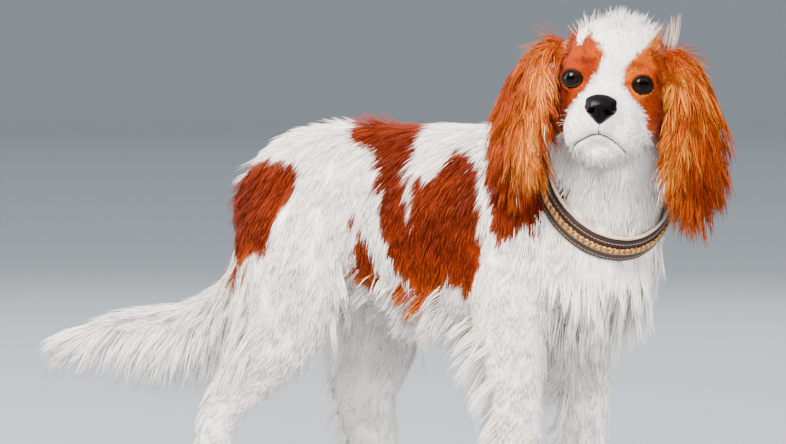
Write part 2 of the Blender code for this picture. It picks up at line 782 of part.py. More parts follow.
def tail_space(gap):
    """The space round the upper part of the tail, down to a gap above its cut."""
    back = TAIL_CUT_WAY.to_track_quat("Z", "Y").to_matrix().to_4x4()
    return box("tail_space", (-0.1, -0.1, -0.3), (0.1, 0.1, -gap), Matrix.Translation(TAIL_CUT_AT) @ back)


@dataclass
class Coat:
    """One kind of lock: its length, half width, half thickness, rise at the root and droop."""

    length: float
    wide: float
    thick: float
    rise: float
    droop: float
    steps: int = 4
    wave: float = 0.0030


EAR_COAT = Coat(0.056, 0.0100, 0.0034, 0.30, 0.50)
EAR_EDGE = Coat(0.044, 0.0090, 0.0026, 0.08, 0.90)
FRILL_COAT = Coat(0.064, 0.0135, 0.0040, 0.30, 0.50)
BELLY_COAT = Coat(0.048, 0.0150, 0.0034, 0.24, 0.50)
FORELEG_COAT = Coat(0.056, 0.0100, 0.0030, 0.20, 0.60)
THIGH_COAT = Coat(0.054, 0.0120, 0.0034, 0.20, 0.45)
HOCK_COAT = Coat(0.034, 0.0090, 0.0028, 0.25, 0.60, 3)
BODY_COAT = Coat(0.064, 0.0150, 0.0036, 0.12, 0.20, 3)
THROAT_COAT = Coat(0.032, 0.0130, 0.0030, 0.20, 0.20, 3)
CROWN_COAT = Coat(0.030, 0.0048, 0.0020, 0.20, 0.50, 3)
TOE_COAT = Coat(0.015, 0.0036, 0.0016, 0.10, 0.30, 3, 0.0008)
PLUME_TOP = Coat(0.056, 0.0110, 0.0030, 0.12, 0.30)
PLUME_HANG = Coat(0.080, 0.0155, 0.0034, 0.06, 0.50)


class Groomer:
    """Sets locks on one node, clear of the others."""

    def __init__(self, node, others, seed):
        graph = bpy.context.evaluated_depsgraph_get()
        graph.update()
        self.node = node
        self.surface = BVHTree.FromObject(node, graph)
        self.others = [BVHTree.FromObject(other, graph) for other in others]
        self.chance = random.Random(seed)
        self.locks = []

    def clear(self, place, room):
        """The place, moved out of the other nodes and off the floor."""
        place = place.copy()
        for other in self.others:
            near, normal, _, distance = other.find_nearest(place)
            if near is None:
                continue
            depth = (place - near).dot(normal)
            if depth < room and distance < 0.05:
                place = place + normal * (room - depth)
        place.z = max(place.z, FLOOR_GAP + room)
        return place

    def add(self, coat, root, lie, face, scale=1.0):
        """One lock from a root on the flesh, with its broad side towards face."""
        chance = self.chance
        length = coat.length * scale * chance.uniform(0.86, 1.12)
        wide = coat.wide * chance.uniform(0.86, 1.14)
        phase = chance.uniform(0.0, 1.0)
        place = Vector(root) - face * ROOT_SINK * 0.7 - lie * ROOT_SINK
        step = (length + ROOT_SINK) / coat.steps
        points = []
        for k in range(coat.steps + 1):
            share = k / coat.steps
            along = (lie + face * coat.rise * (1.0 - 1.6 * share) + DOWN * coat.droop * share).normalized()
            out = (face - along * along.dot(face)).normalized()
            across = along.cross(out)
            middle = place + across * coat.wave * math.sin(2 * math.pi * (share + phase)) * share
            thick = coat.thick * (1.0 - 0.6 * share)
            if share > 0.3:
                moved = self.clear(middle, thick + GAP)
                if (moved - middle).length > MOST_MOVED:
                    return
                place += moved - middle
                middle = moved
            if k == coat.steps:
                points.append(middle)
            else:
                width = wide * lock_taper(share)
                points += [middle + across * width, middle + out * thick, middle - across * width]
            place = place + along * step
        self.locks.append(lock_mesh(points, coat.steps))

    def cast(self, coat, start, way, lie, tilt=0.0, scale=1.0):
        """One lock where a ray meets the flesh, lying along the flesh."""
        hit, normal = self.surface.ray_cast(Vector(start), Vector(way).normalized())[:2]
        if hit is None:
            return
        lie = Vector(lie) + Vector([self.chance.gauss(0.0, 0.09) for _ in range(3)])
        flat = (lie - normal * lie.dot(normal) * (1.0 - tilt)).normalized()
        self.add(coat, hit, flat, normal, scale)

    def fuse(self):
        """Joins the locks to their node."""
        if self.locks:
            combined(self.node, self.locks, "UNION")
        return self.node


def lock_mesh(points, steps):
    """A lock from its rings of three corners, edge, ridge and edge, and its tip."""
    faces = [(0, 1, 2)]
    for k in range(steps - 1):
        for n in range(3):
            a, b = 3 * k + n, 3 * k + (n + 1) % 3
            faces.append((a, a + 3, b + 3, b))
    tip, last = len(points) - 1, 3 * (steps - 1)
    faces += [(last + n, tip, last + (n + 1) % 3) for n in range(3)]
    obj = mesh_object("lock", points, faces)
    face_out(obj)
    return obj


def lock_taper(share):
    """The width of a lock along its length: narrow at the root, full, then down to its tip."""
    return 0.55 + 1.6 * share - 2.15 * share * share


def groom_ear(nodes, side, name):
    """The ear's long locks in tiers down its outside, and the fringe of its two edges."""
    coat = Groomer(nodes[name], [nodes["head"], nodes["neck"], nodes["torso"]], 11 + side)
    frames = flat_frames(ear_stations(side), ear_face(side), 4)
    last = len(frames) - 1
    for share, count, spread in ((0.22, 3, 0.34), (0.46, 4, 0.24), (0.68, 5, 0.12), (0.90, 5, 0.0)):
        middle, along, across, out, wide, thick = frames[round(share * last)]
        for k in range(count):
            s = (k + 0.5) / count * 2 - 1 + coat.chance.uniform(-0.06, 0.06)
            root = middle + across * wide * s * 0.90 + out * thick * 0.6 * math.sqrt(max(0.0, 1 - s * s))
            lie = (along * (0.3 + 0.7 * share) + DOWN * (0.7 - 0.5 * share) + across * s * spread).normalized()
            coat.add(EAR_COAT, root, lie, (out - lie * out.dot(lie)).normalized())
    middle, along, across, out, wide, thick = frames[round(0.50 * last)]
    for way in (-1, 1):
        lie = (along + across * way * 0.42).normalized()
        coat.add(EAR_EDGE, middle + across * wide * way * 0.85, lie, out)
    return coat.fuse()


def groom_torso(nodes):
    """The frill of the chest, the fringe of the belly and the broad locks of the sides."""
    names = ("neck", "head", "foreleg_right", "foreleg_left", "thigh_right", "thigh_left")
    coat = Groomer(nodes["torso"], [nodes[name] for name in names], 21)
    for z, count, reach in ((0.212, 4, 62), (0.178, 5, 56)):
        for k in range(count):
            turn = math.radians(reach * ((k + 0.5) / count * 2 - 1) + coat.chance.uniform(-4, 4))
            way = Vector((math.cos(turn), math.sin(turn), 0.0))
            coat.cast(FRILL_COAT, Vector((0.115, 0.0, z)) + way * 0.2, -way, (-0.05, 0, -1), 0.2)
    for x, y in ((0.145, -0.020), (0.145, 0.020), (0.108, 0.0)):
        coat.cast(FRILL_COAT, (x, y, 0.0), (0, 0, 1), (-0.35, 0, -0.9), 0.9)
    for x, across in ((0.062, 0.020), (0.016, 0.030), (-0.032, 0.028)):
        for y in (-across, across):
            size = 0.74 + 0.26 * (x + 0.036) / 0.102
            coat.cast(BELLY_COAT, (x, y, 0.0), (0, 0, 1), (-0.75, 0.2 * y / across, -0.5), 0.6, size)
    for x, z in ((0.048, 0.188), (0.016, 0.182), (-0.016, 0.186), (-0.048, 0.196)):
        for side in (-1, 1):
            start = (x + coat.chance.uniform(-0.004, 0.004), side * 0.3, z)
            coat.cast(BODY_COAT, start, (0, -side, 0), (-0.70, 0, -0.62))
    return coat.fuse()


def groom_legs(nodes):
    """The feathers behind each leg, and those between the toes."""
    for side, end in ((-1, "right"), (1, "left")):
        fore = Groomer(nodes[f"foreleg_{end}"], [nodes["torso"]], 31 + side)
        line = FORELEG_RIGHT if side < 0 else FORELEG_LEFT
        for k, z in enumerate((0.142, 0.118, 0.094, 0.070)):
            for sway in (-0.009, 0.009):
                fore.cast(FORELEG_COAT, (-0.3, line[3][1] + sway, z), (1, 0, 0),
                          (-0.72, sway * 9, -0.72), 0.9, 1.0 - 0.12 * k)
        fore.fuse()
        thigh = Groomer(nodes[f"thigh_{end}"], [nodes["torso"], nodes[f"hock_{end}"]], 41 + side)
        leg_y = side * 0.052
        for z, sway in ((0.206, -0.006), (0.188, 0.012), (0.168, -0.012), (0.150, 0.008), (0.138, -0.006)):
            thigh.cast(THIGH_COAT, (-0.4, leg_y + sway, z), (1, 0, 0), (-0.45, sway * 6, -0.9), 0.5)
        thigh.fuse()
        hock = Groomer(nodes[f"hock_{end}"], [nodes[f"thigh_{end}"]], 51 + side)
        for z in (0.106, 0.082, 0.058):
            hock.cast(HOCK_COAT, (-0.4, leg_y, z), (1, 0, 0), (-0.50, 0.1 * side, -0.8), 0.6)
        hock.fuse()
        for paw, ankle in (("forepaw", line[-1]), ("hindpaw", (HINDLEG_RIGHT if side < 0 else HINDLEG_LEFT)[-1])):
            toes = Groomer(nodes[f"{paw}_{end}"], [], 61 + side)
            for sway in (-0.009, 0.009):
                start = (ankle[0] + PAW_FORWARD + 0.017, ankle[1] + sway, 0.1)
                toes.cast(TOE_COAT, start, (0, 0, -1), (0.9, sway * 12, -0.5), 0.3)
            # Cut here, after the thinning, so that each sole is one true flat
            kept(toes.fuse(), box("floor", (-1, -1, 0), (1, 1, 1)))


def groom_tail(nodes):
    """The plume: short locks along the top, long ones that hang from the sides and the tip."""
    rear = [nodes[name] for name in ("torso", "thigh_right", "thigh_left", "hock_right", "hock_left")]
    frames = flat_frames(TAIL, Vector((0.0, 1.0, 0.0)), 4)
    base = Groomer(nodes["tail_base"], rear, 77)
    for share, sway in ((0.24, 0.0), (0.33, -0.3), (0.35, 0.3), (0.44, 0.0)):
        middle, along, _, _, wide, thick = frames[round(share * (len(frames) - 1))]
        face = Vector((-1.0, sway, 0.0)).normalized()
        base.add(PLUME_TOP, middle + face * thick * 0.8, (along + face * 0.30).normalized(), face, 0.85)
    base.fuse()
    plume = Groomer(nodes["tail_plume"], rear, 72)
    last = len(frames) - 1
    for row, share in enumerate((0.55, 0.61, 0.67, 0.73, 0.79, 0.85, 0.90)):
        middle, along, _, _, wide, thick = frames[round(share * last)]
        side = 1 if row % 2 else -1
        face = Vector((0.0, side, 0.0))
        hang = (along * 0.60 + DOWN * 0.85 + face * 0.10).normalized()
        plume.add(PLUME_HANG, middle + face * wide * 0.8 + DOWN * thick * 0.3, hang, face)
        low = (along * 0.85 + DOWN * 0.70 - face * 0.10).normalized()
        plume.add(PLUME_HANG, middle - face * wide * 0.7, low, -face, 0.8)
        if row % 2:
            plume.add(PLUME_TOP, middle - DOWN * thick * 0.5, (along - DOWN * 0.05).normalized(), -DOWN, 0.8)
    middle, along = frames[-2][0], frames[-2][1]
    for k in (-1, 0, 1):
        lie = (along + Vector((0.0, 0.18 * k, -0.10 - 0.12 * abs(k)))).normalized()
        plume.add(PLUME_HANG, middle, lie, Vector((0, 1, 0)) if k else -DOWN, 0.95)
    plume.fuse()


def groom_head_and_neck(nodes):
    """The throat's locks above the collar, and the wisps of the crown."""
    neck = Groomer(nodes["neck"], [nodes["head"], nodes["torso"]], 81)
    matrix = collar_matrix()
    for k in range(4):
        turn = math.radians(-80 + 160 * (k + 0.5) / 4)
        way = matrix.to_3x3() @ Vector((math.cos(turn), math.sin(turn), 0.0))
        start = COLLAR_AT + COLLAR_AXIS * 0.046 + way * 0.15
        neck.cast(THROAT_COAT, start, -way, -COLLAR_AXIS, 0.0, 0.8)
    neck.fuse()
    crown = Groomer(nodes["head"], [], 82)
    matrix = head_matrix()
    for x, y in ((-0.016, -0.012), (-0.024, 0.016), (-0.036, -0.030), (-0.038, 0.032)):
        start, way = matrix @ Vector((x, y, 0.2)), matrix.to_3x3() @ Vector((0.0, 0.0, -1.0))
        crown.cast(CROWN_COAT, start, way, matrix.to_3x3() @ Vector((-0.5, y * 26, 0.45)), 1.0)
    crown.fuse()


def groom(nodes):
    """Adds every lock, then cuts the nodes clear of one another."""
    groom_torso(nodes)
    groom_legs(nodes)
    groom_head_and_neck(nodes)
    groom_ear(nodes, -1, "ear_right")
    groom_ear(nodes, 1, "ear_left")
    groom_tail(nodes)
    for name in ("torso", "neck", "head"):
        clear_of_collar(nodes[name])
    order = (
        ("head", ("torso", "neck")),
        ("neck", ("torso",)),
        ("foreleg_right", ("torso", "forepaw_right")),
        ("foreleg_left", ("torso", "forepaw_left")),
        ("hock_right", ("hindpaw_right",)),
        ("hock_left", ("hindpaw_left",)),
        ("thigh_right", ("torso", "hock_right")),
        ("thigh_left", ("torso", "hock_left")),
        ("tail_base", ("torso", "thigh_right", "thigh_left")),
        ("tail_plume", ("torso", "tail_base", "thigh_right", "thigh_left", "hock_right", "hock_left")),
        ("ear_right", ("head", "neck", "torso")),
        ("ear_left", ("head", "neck", "torso")),
    )
    for name, others in order:
        clear_of(nodes[name], [nodes[other] for other in others])


def painted(obj, finish):
    """Gives an object its material."""
    material = bpy.data.materials.get(finish)
    if material is None:
        colour, roughness, metallic = MATERIALS[finish]
        material = bpy.data.materials.new(finish)
        material.use_nodes = True
        surface = material.node_tree.nodes["Principled BSDF"]
        surface.inputs["Base Color"].default_value = (*colour, 1.0)
        surface.inputs["Roughness"].default_value = roughness
        surface.inputs["Metallic"].default_value = metallic
        material.diffuse_color = (*colour, 1.0)
    obj.data.materials.clear()
    obj.data.materials.append(material)


def main():
    """Builds every node."""
    clear_scene()
    nodes = flesh_nodes()
    groom(nodes)
    for name, node in nodes.items():
        painted(node, "fur_chestnut" if name.startswith("ear") else "fur_white")
    for eye in eye_nodes().values():
        painted(eye, "eye_dark")
    painted(nose_node(), "nose_black")
    for obj, finish in collar_nodes():
        painted(obj, finish)
    for obj in bpy.data.objects:
        obj.location = BODY_SHIFT


if __name__ == "__main__":
    main()
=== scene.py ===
"""Looks for a life-size toy spaniel: skin, coat, eyes, nose, claws, collar and a plain studio.

Metres, +Z up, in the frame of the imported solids. Body places are measured from the middle of the
trunk on the floor, and BODY_SHIFT moves them into that frame. One skin stands for all the flesh,
and the coat is solid mesh: tufts that start in the skin and follow the lie of the hair.
"""

import logging
import math
from dataclasses import dataclass, field
from enum import Enum
from typing import Any, Callable, Sequence

import bmesh
import bpy
import numpy as np
from mathutils import Euler, Matrix, Vector
from mathutils.bvhtree import BVHTree


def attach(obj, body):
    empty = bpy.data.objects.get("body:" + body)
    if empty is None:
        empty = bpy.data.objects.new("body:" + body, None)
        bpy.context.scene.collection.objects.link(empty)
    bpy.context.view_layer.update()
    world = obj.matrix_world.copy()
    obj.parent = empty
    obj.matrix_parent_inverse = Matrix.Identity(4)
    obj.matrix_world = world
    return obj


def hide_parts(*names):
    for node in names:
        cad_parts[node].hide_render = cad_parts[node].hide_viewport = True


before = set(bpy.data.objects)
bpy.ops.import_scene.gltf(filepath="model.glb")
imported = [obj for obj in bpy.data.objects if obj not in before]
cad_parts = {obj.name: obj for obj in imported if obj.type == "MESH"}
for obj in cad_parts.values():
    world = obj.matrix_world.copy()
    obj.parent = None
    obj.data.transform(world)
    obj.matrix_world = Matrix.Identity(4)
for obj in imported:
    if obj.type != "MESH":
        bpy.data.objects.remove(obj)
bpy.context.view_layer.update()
LOG = logging.getLogger("spaniel")

Array = np.ndarray
BODY_SHIFT = np.array((0.0853, 0.0140, 0.0))
DOWN = np.array((0.0, 0.0, -1.0))
HAIR = "Hair"
BAKE_MAP = "OFBake"
TUFT_PATCH = 0.003
# How high skin and hair stay above the floor, and how deep a tuft's root lies in the skin
FLOOR_CLEAR = 0.0012
ROOT_DEPTH = 0.0012
# A paw's toes, counted out from its middle line
TOES = (-1.5, -0.5, 0.5, 1.5)
# Large odd numbers that mix the cells of the noise
MIXERS = (73856093, 19349663, 83492791)
MIXER = 2654435761
FLESH_NODES = (
    "head", "neck", "torso", "tail_base", "tail_plume", "foreleg_right", "foreleg_left",
    "forepaw_right", "forepaw_left", "thigh_right", "thigh_left", "hock_right", "hock_left",
    "hindpaw_right", "hindpaw_left", "ear_right", "ear_left",
)


class Side(Enum):
    """The animal's right and left, as the sign of Y."""

    RIGHT = -1
    LEFT = 1


def unit(vectors: Array) -> Array:
    """Vectors at length one, along the last axis."""
    return vectors / np.maximum(np.linalg.norm(vectors, axis=-1, keepdims=True), 1e-12)


def smoothstep(low: float, high: float, values: Array) -> Array:
    """0 below low, 1 above high, and a smooth rise between."""
    share = np.clip((values - low) / (high - low), 0.0, 1.0)
    return share * share * (3.0 - 2.0 * share)


def smooth_rows(rows: Sequence[Sequence[float]], steps: int) -> Array:
    """Rows of numbers with more rows on a smooth curve between each pair.

    Args:
        rows: The rows that the curve passes through.
        steps: How many steps go between two rows.

    Returns:
        All rows, the given ones among them.
    """
    known = [np.array(row, float) for row in rows]
    ends = [2 * known[0] - known[1], *known, 2 * known[-1] - known[-2]]
    out = []
    for i in range(1, len(ends) - 2):
        a, b, c, d = ends[i - 1 : i + 3]
        for k in range(steps):
            t = k / steps
            out.append(0.5 * (2 * b + (c - a) * t + (2 * a - 5 * b + 4 * c - d) * t**2
                              + (3 * b - a - 3 * c + d) * t**3))
    return np.array([*out, known[-1]])


def grain(points: Array, size: float, seed: int) -> Array:
    """Smooth noise between -1 and 1 at points.

    Args:
        points: Places, one a row.
        size: The noise's grain in metres.
        seed: Picks one noise of many.

    Returns:
        One value a point.
    """
    cell = points / size + seed * 17.3
    base = np.floor(cell).astype(np.int64)
    part = cell - base
    part = part * part * (3 - 2 * part)
    total = np.zeros(len(points))
    for corner in np.ndindex(2, 2, 2):
        place = base + np.array(corner)
        mixed = (place[:, 0] * MIXERS[0]) ^ (place[:, 1] * MIXERS[1]) ^ (place[:, 2] * MIXERS[2]) ^ seed
        value = ((mixed * MIXER) % 2**32) / 2.0**31 - 1.0
        weight = np.prod(np.where(np.array(corner) == 1, part, 1 - part), axis=1)
        total += value * weight
    return total


def moved(points: Array, matrix: Matrix) -> Array:
    """Places moved by a matrix, one a row."""
    turn = np.array(matrix)
    return np.asarray(points, float) @ turn[:3, :3].T + turn[:3, 3]


def linked(name: str, data: Any) -> Any:
    """A new object in the scene.

    Args:
        name: Its name.
        data: Its mesh, lamp or camera.

    Returns:
        The object.
    """
    piece = bpy.data.objects.new(name, data)
    bpy.context.scene.collection.objects.link(piece)
    return piece


def smoothed(mesh: Any) -> Any:
    """A mesh with every face shaded smooth."""
    for polygon in mesh.polygons:
        polygon.use_smooth = True
    return mesh


def mesh_from(name: str, shape: Any) -> Any:
    """A new mesh from a modelled shape, which ends.

    Args:
        name: The mesh's name.
        shape: What bmesh modelled.

    Returns:
        The mesh.
    """
    mesh = bpy.data.meshes.new(name)
    shape.to_mesh(mesh)
    shape.free()
    return mesh


def ring_faces(rings: int, sides: int, closed: bool = True) -> list[tuple[int, ...]]:
    """Faces between rings of corners, each ring to the next.

    Args:
        rings: How many rings.
        sides: Corners of a ring.
        closed: Whether the last ring joins the first.

    Returns:
        The corners of each face.
    """
    faces = []
    for k in range(rings if closed else rings - 1):
        for n in range(sides):
            a, b = k * sides + n, k * sides + (n + 1) % sides
            faces.append((a, b, (b + sides) % (rings * sides), (a + sides) % (rings * sides)))
    return faces


def piece_from(name: str, points: Sequence[Sequence[float]], faces: Sequence[Sequence[int]]) -> Any:
    """A new object from points and faces, shaded smooth.

    Args:
        name: The object's name.
        points: Places in the frame, one a row.
        faces: The corners of each face.

    Returns:
        The object, in the scene.
    """
    mesh = bpy.data.meshes.new(name)
    mesh.from_pydata([tuple(map(float, p)) for p in points], [], [tuple(map(int, f)) for f in faces])
    return linked(name, smoothed(mesh))


def faced_out(piece: Any) -> Any:
    """Turns every face of a closed piece outwards.

    Args:
        piece: The object.

    Returns:
        The same object.
    """
    shape = bmesh.new()
    shape.from_mesh(piece.data)
    bmesh.ops.recalc_face_normals(shape, faces=shape.faces)
    shape.to_mesh(piece.data)
    shape.free()
    return piece


def applied(piece: Any) -> Any:
    """Makes a piece's modifiers part of its mesh.

    Args:
        piece: The object.

    Returns:
        The same object.
    """
    graph = bpy.context.evaluated_depsgraph_get()
    mesh = bpy.data.meshes.new_from_object(piece.evaluated_get(graph))
    old = piece.data
    piece.modifiers.clear()
    piece.data = mesh
    bpy.data.meshes.remove(old)
    return piece


def joined(name: str, pieces: Sequence[Any]) -> Any:
    """Joins several pieces.

    Args:
        name: The name of the whole.
        pieces: The objects.

    Returns:
        One object.
    """
    bpy.ops.object.select_all(action="DESELECT")
    for piece in pieces:
        piece.select_set(True)
    bpy.context.view_layer.objects.active = pieces[0]
    bpy.ops.object.join()
    whole = bpy.context.view_layer.objects.active
    whole.name = name
    whole.data.name = name
    return whole


def placed(piece: Any, finish: Any, slot: str, *nodes: str) -> Any:
    """Dresses a finished piece and ties it to the frame.

    Args:
        piece: The object.
        finish: Its material.
        slot: Not used.
        nodes: The nodes of the solids that it stands for.

    Returns:
        The same object.
    """
    piece.data.materials.clear()
    piece.data.materials.append(finish)
    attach(piece, "root")
    if nodes:
        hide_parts(*nodes)
    LOG.info("%s: %d faces", piece.name, len(piece.data.polygons))
    return piece


# Finishes


def linear(code: str) -> tuple[float, float, float, float]:
    """An sRGB hex code as a linear colour.

    Args:
        code: A # and six hex digits.

    Returns:
        Red, green, blue and 1.
    """
    values = [int(code[i : i + 2], 16) / 255 for i in (1, 3, 5)]
    out = [v / 12.92 if v <= 0.04045 else ((v + 0.055) / 1.055) ** 2.4 for v in values]
    return out[0], out[1], out[2], 1.0


class Recipe:
    """One material's node tree, with its Principled shader."""

    def __init__(self, name: str) -> None:
        """Starts a plain material."""
        self.material = bpy.data.materials.new(name)
        self.material.use_nodes = True
        self.tree = self.material.node_tree
        self.shader = self.tree.nodes["Principled BSDF"]

    def add(self, kind: str, links: dict[Any, Any] | None = None, out: Any = 0,
            stops: Sequence[tuple[float, str]] = (), **settings: Any) -> Any:
        """Adds a node with its settings and links.

        Args:
            kind: The node's type, without the word ShaderNode.
            links: Socket name or number, to a value or to another node's output.
            out: Name or number of the output that is wanted.
            stops: The places and hex colours of a ramp.
            settings: Properties of the node.

        Returns:
            That output.
        """
        node = self.tree.nodes.new("ShaderNode" + kind)
        for key, value in settings.items():
            setattr(node, key, value)
        for key, value in (links or {}).items():
            self.link(value, node.inputs[key])
        if stops:
            elements = node.color_ramp.elements
            while len(elements) < len(stops):
                elements.new(0.5)
            for element, (place, code) in zip(elements, stops):
                element.position = place
                element.color = linear(code)
        return node.outputs[out]

    def link(self, value: Any, socket: Any) -> None:
        """Feeds a socket.

        Args:
            value: A plain value or another node's output.
            socket: The socket.
        """
        if isinstance(value, bpy.types.NodeSocket):
            self.tree.links.new(value, socket)
        else:
            socket.default_value = value

    def set(self, **values: Any) -> None:
        """Sets the shader's sockets, with _ for a space."""
        for key, value in values.items():
            self.link(value, self.shader.inputs[key.replace("_", " ")])


@dataclass(frozen=True)
class DogHair:
    """Silky dog hair, grown: white, and chestnut that runs from red-brown to gold."""

    name: str = "dog_hair_silky"
    # The white at the root, darkened as painted shade deep in the coat
    white_root_shaded: str = "#f5e8d9"
    white_tip: str = "#fdfbf8"
    deep: str = "#4c0f00"
    brown: str = "#842900"
    amber: str = "#a84800"
    gold: str = "#ea9230"
    roughness: float = 0.45
    shine: float = 0.14

    def browns(self) -> tuple[tuple[float, str], ...]:
        """The chestnut's colours, from red-brown at 0 to gold at 1."""
        return (0.0, self.deep), (0.33, self.brown), (0.66, self.amber), (1.0, self.gold)

    def make(self) -> Any:
        """The material, which reads each tuft's own marking, tone, chance and place along it.

        Returns:
            The material.
        """
        recipe = Recipe(self.name)
        hair = recipe.add("Attribute", out="Color", attribute_name=HAIR, attribute_type="GEOMETRY")
        split = recipe.add("SeparateColor", {"Color": hair}).node.outputs
        mark, tone, chance, along = split[0], split[1], split[2], hair.node.outputs["Alpha"]
        # The white runs from painted shade at the root to full white at the tip
        worn = recipe.add("Math", {0: along, 1: 0.6}, operation="POWER")
        white = recipe.add("Mix", {0: worn, 6: linear(self.white_root_shaded), 7: linear(self.white_tip)}, 2,
                           data_type="RGBA")
        # Real hair varies from strand to strand, which gives the streaks. Each strand is darker at its root
        # and paler at its tip, in white and chestnut alike: painted shade deep in the coat
        share = recipe.add("Math", {0: tone, 1: 0.55, 2: 0.12}, operation="MULTIPLY_ADD")
        chance = recipe.add("Math", {0: chance, 1: 0.5}, operation="SUBTRACT")
        spread = recipe.add("Math", {0: chance, 1: share}, operation="MULTIPLY")
        paler = recipe.add("Math", {0: along, 1: 0.22, 2: -0.10}, operation="MULTIPLY_ADD")
        streak = recipe.add("Math", {0: paler, 1: spread}, operation="ADD")
        shade = recipe.add("Math", {0: tone, 1: streak}, operation="ADD")
        brown = recipe.add("ValToRGB", {"Fac": shade}, stops=self.browns())
        colour = recipe.add("Mix", {0: mark, 6: white, 7: brown}, 2, data_type="RGBA")
        recipe.set(Base_Color=colour, Roughness=self.roughness, Specular_IOR_Level=self.shine)
        return recipe.material


@dataclass(frozen=True)
class ShortFur:
    """The skin under the coat: short fur lying flat, which reads as fine streaks along the body."""

    name: str = "short_fur_skin"
    white: str = "#faf6f1"
    shade: str = "#f0e9e0"
    bare: str = "#1a100d"
    roughness: float = 0.62
    shine: float = 0.06
    hair_width: float = 0.0006
    hair_length: float = 0.0060
    bump: float = 0.5

    def make(self, hair: DogHair) -> Any:
        """The material: the coat's markings with fine streaks of bump.

        Args:
            hair: The finish of the coat, whose browns this one shares.

        Returns:
            The material.
        """
        recipe = Recipe(self.name)
        data = recipe.add("Attribute", out="Color", attribute_name=HAIR, attribute_type="GEOMETRY")
        mark, tone, dark = list(recipe.add("SeparateColor", {"Color": data}).node.outputs)[:3]
        comb = recipe.add("Attribute", out="Vector", attribute_name="Comb", attribute_type="GEOMETRY")
        # One hair is 0.06 mm across, too fine to show, so the streaks are ten hairs wide
        streak = recipe.add("TexNoise", {"Vector": comb, "Scale": 1.0, "Detail": 3.0,
                                         "Roughness": 0.6}, "Fac")
        # The streaks are darker where the bump sinks, in white and chestnut alike: painted shade between the
        # hairs
        spread = recipe.add("Math", {0: streak, 1: 0.7, 2: -0.40}, operation="MULTIPLY_ADD")
        tone = recipe.add("Math", {0: tone, 1: spread}, operation="ADD")
        brown = recipe.add("ValToRGB", {"Fac": tone}, stops=hair.browns())
        white = recipe.add("Mix", {0: streak, 6: linear(self.shade), 7: linear(self.white)}, 2,
                           data_type="RGBA")
        fur = recipe.add("Mix", {0: mark, 6: white, 7: brown}, 2, data_type="RGBA")
        colour = recipe.add("Mix", {0: dark, 6: fur, 7: linear(self.bare)}, 2, data_type="RGBA")
        bump = recipe.add("Bump", {"Height": streak, "Strength": self.bump, "Distance": self.hair_width})
        recipe.set(Base_Color=colour, Roughness=self.roughness, Specular_IOR_Level=self.shine, Normal=bump)
        return recipe.material


@dataclass(frozen=True)
class WetEye:
    """A dog's eye: brown iris and black pupil under a wet clear cornea."""

    name: str = "wet_eye"
    pupil: str = "#020101"
    iris: str = "#160805"
    edge: str = "#060303"
    white: str = "#3a2823"

    def make(self) -> Any:
        """The material, which reads how far each point lies from the pupil's middle.

        Returns:
            The material.
        """
        recipe = Recipe(self.name)
        turn = recipe.add("Attribute", out="Fac", attribute_name="Pupil", attribute_type="GEOMETRY")
        stops = ((0.0, self.pupil), (0.30, self.pupil), (0.34, self.iris), (0.66, self.iris),
                 (0.76, self.edge), (0.92, self.edge), (1.0, self.white))
        recipe.set(Base_Color=recipe.add("ValToRGB", {"Fac": turn}, stops=stops), Roughness=0.08)
        # The film of tears: thin, smooth and nearly as dense as water
        recipe.set(Specular_IOR_Level=0.08, Coat_Weight=0.17, Coat_Roughness=0.02, Coat_IOR=1.38)
        return recipe.material


@dataclass(frozen=True)
class MoistSkin:
    """Bare dog skin, black and moist: a pebbled nose, smooth lids and lips."""

    name: str
    colour: str
    pale: str
    roughness: float
    pebble: float
    bump: float
    shine: float

    def make(self) -> Any:
        """The material, with pebbles of the real size.

        Returns:
            The material.
        """
        recipe = Recipe(self.name)
        place = recipe.add("TexCoord", out="Object")
        cells = recipe.add("TexVoronoi", {"Vector": place, "Scale": 1.0 / self.pebble}, "Distance",
                           feature="SMOOTH_F1")
        fine = recipe.add("TexNoise", {"Vector": place, "Scale": 3.0 / self.pebble, "Detail": 2.0}, "Fac")
        colour = recipe.add("Mix", {0: fine, 6: linear(self.colour), 7: linear(self.pale)}, 2,
                            data_type="RGBA")
        rough = recipe.add("Math", {0: cells, 1: 0.25, 2: self.roughness}, operation="MULTIPLY_ADD")
        small = recipe.add("Math", {0: fine, 1: 0.2}, operation="MULTIPLY")
        height = recipe.add("Math", {0: small, 1: cells}, operation="SUBTRACT")
        bump = recipe.add("Bump", {"Height": height, "Strength": self.bump, "Distance": self.pebble * 0.25})
        recipe.set(Base_Color=colour, Roughness=rough, Specular_IOR_Level=self.shine, Normal=bump)
        return recipe.material


@dataclass(frozen=True)
class ClawHorn:
    """Claw horn, grown in layers: grey-brown, half clear, with a soft shine."""

    name: str = "claw_horn"
    root: str = "#8a7566"
    tip: str = "#3a2c26"

    def make(self) -> Any:
        """The material, streaked along the claw.

        Returns:
            The material.
        """
        recipe = Recipe(self.name)
        place = recipe.add("TexCoord", out="Object")
        # Growth lines about 1 mm apart
        lines = recipe.add("TexNoise", {"Vector": place, "Scale": 900.0, "Detail": 2.0}, "Fac")
        colour = recipe.add("Mix", {0: lines, 6: linear(self.root), 7: linear(self.tip)}, 2,
                            data_type="RGBA")
        bump = recipe.add("Bump", {"Height": lines, "Strength": 0.2, "Distance": 0.0002})
        recipe.set(Base_Color=colour, Roughness=0.32, Normal=bump)
        return recipe.material


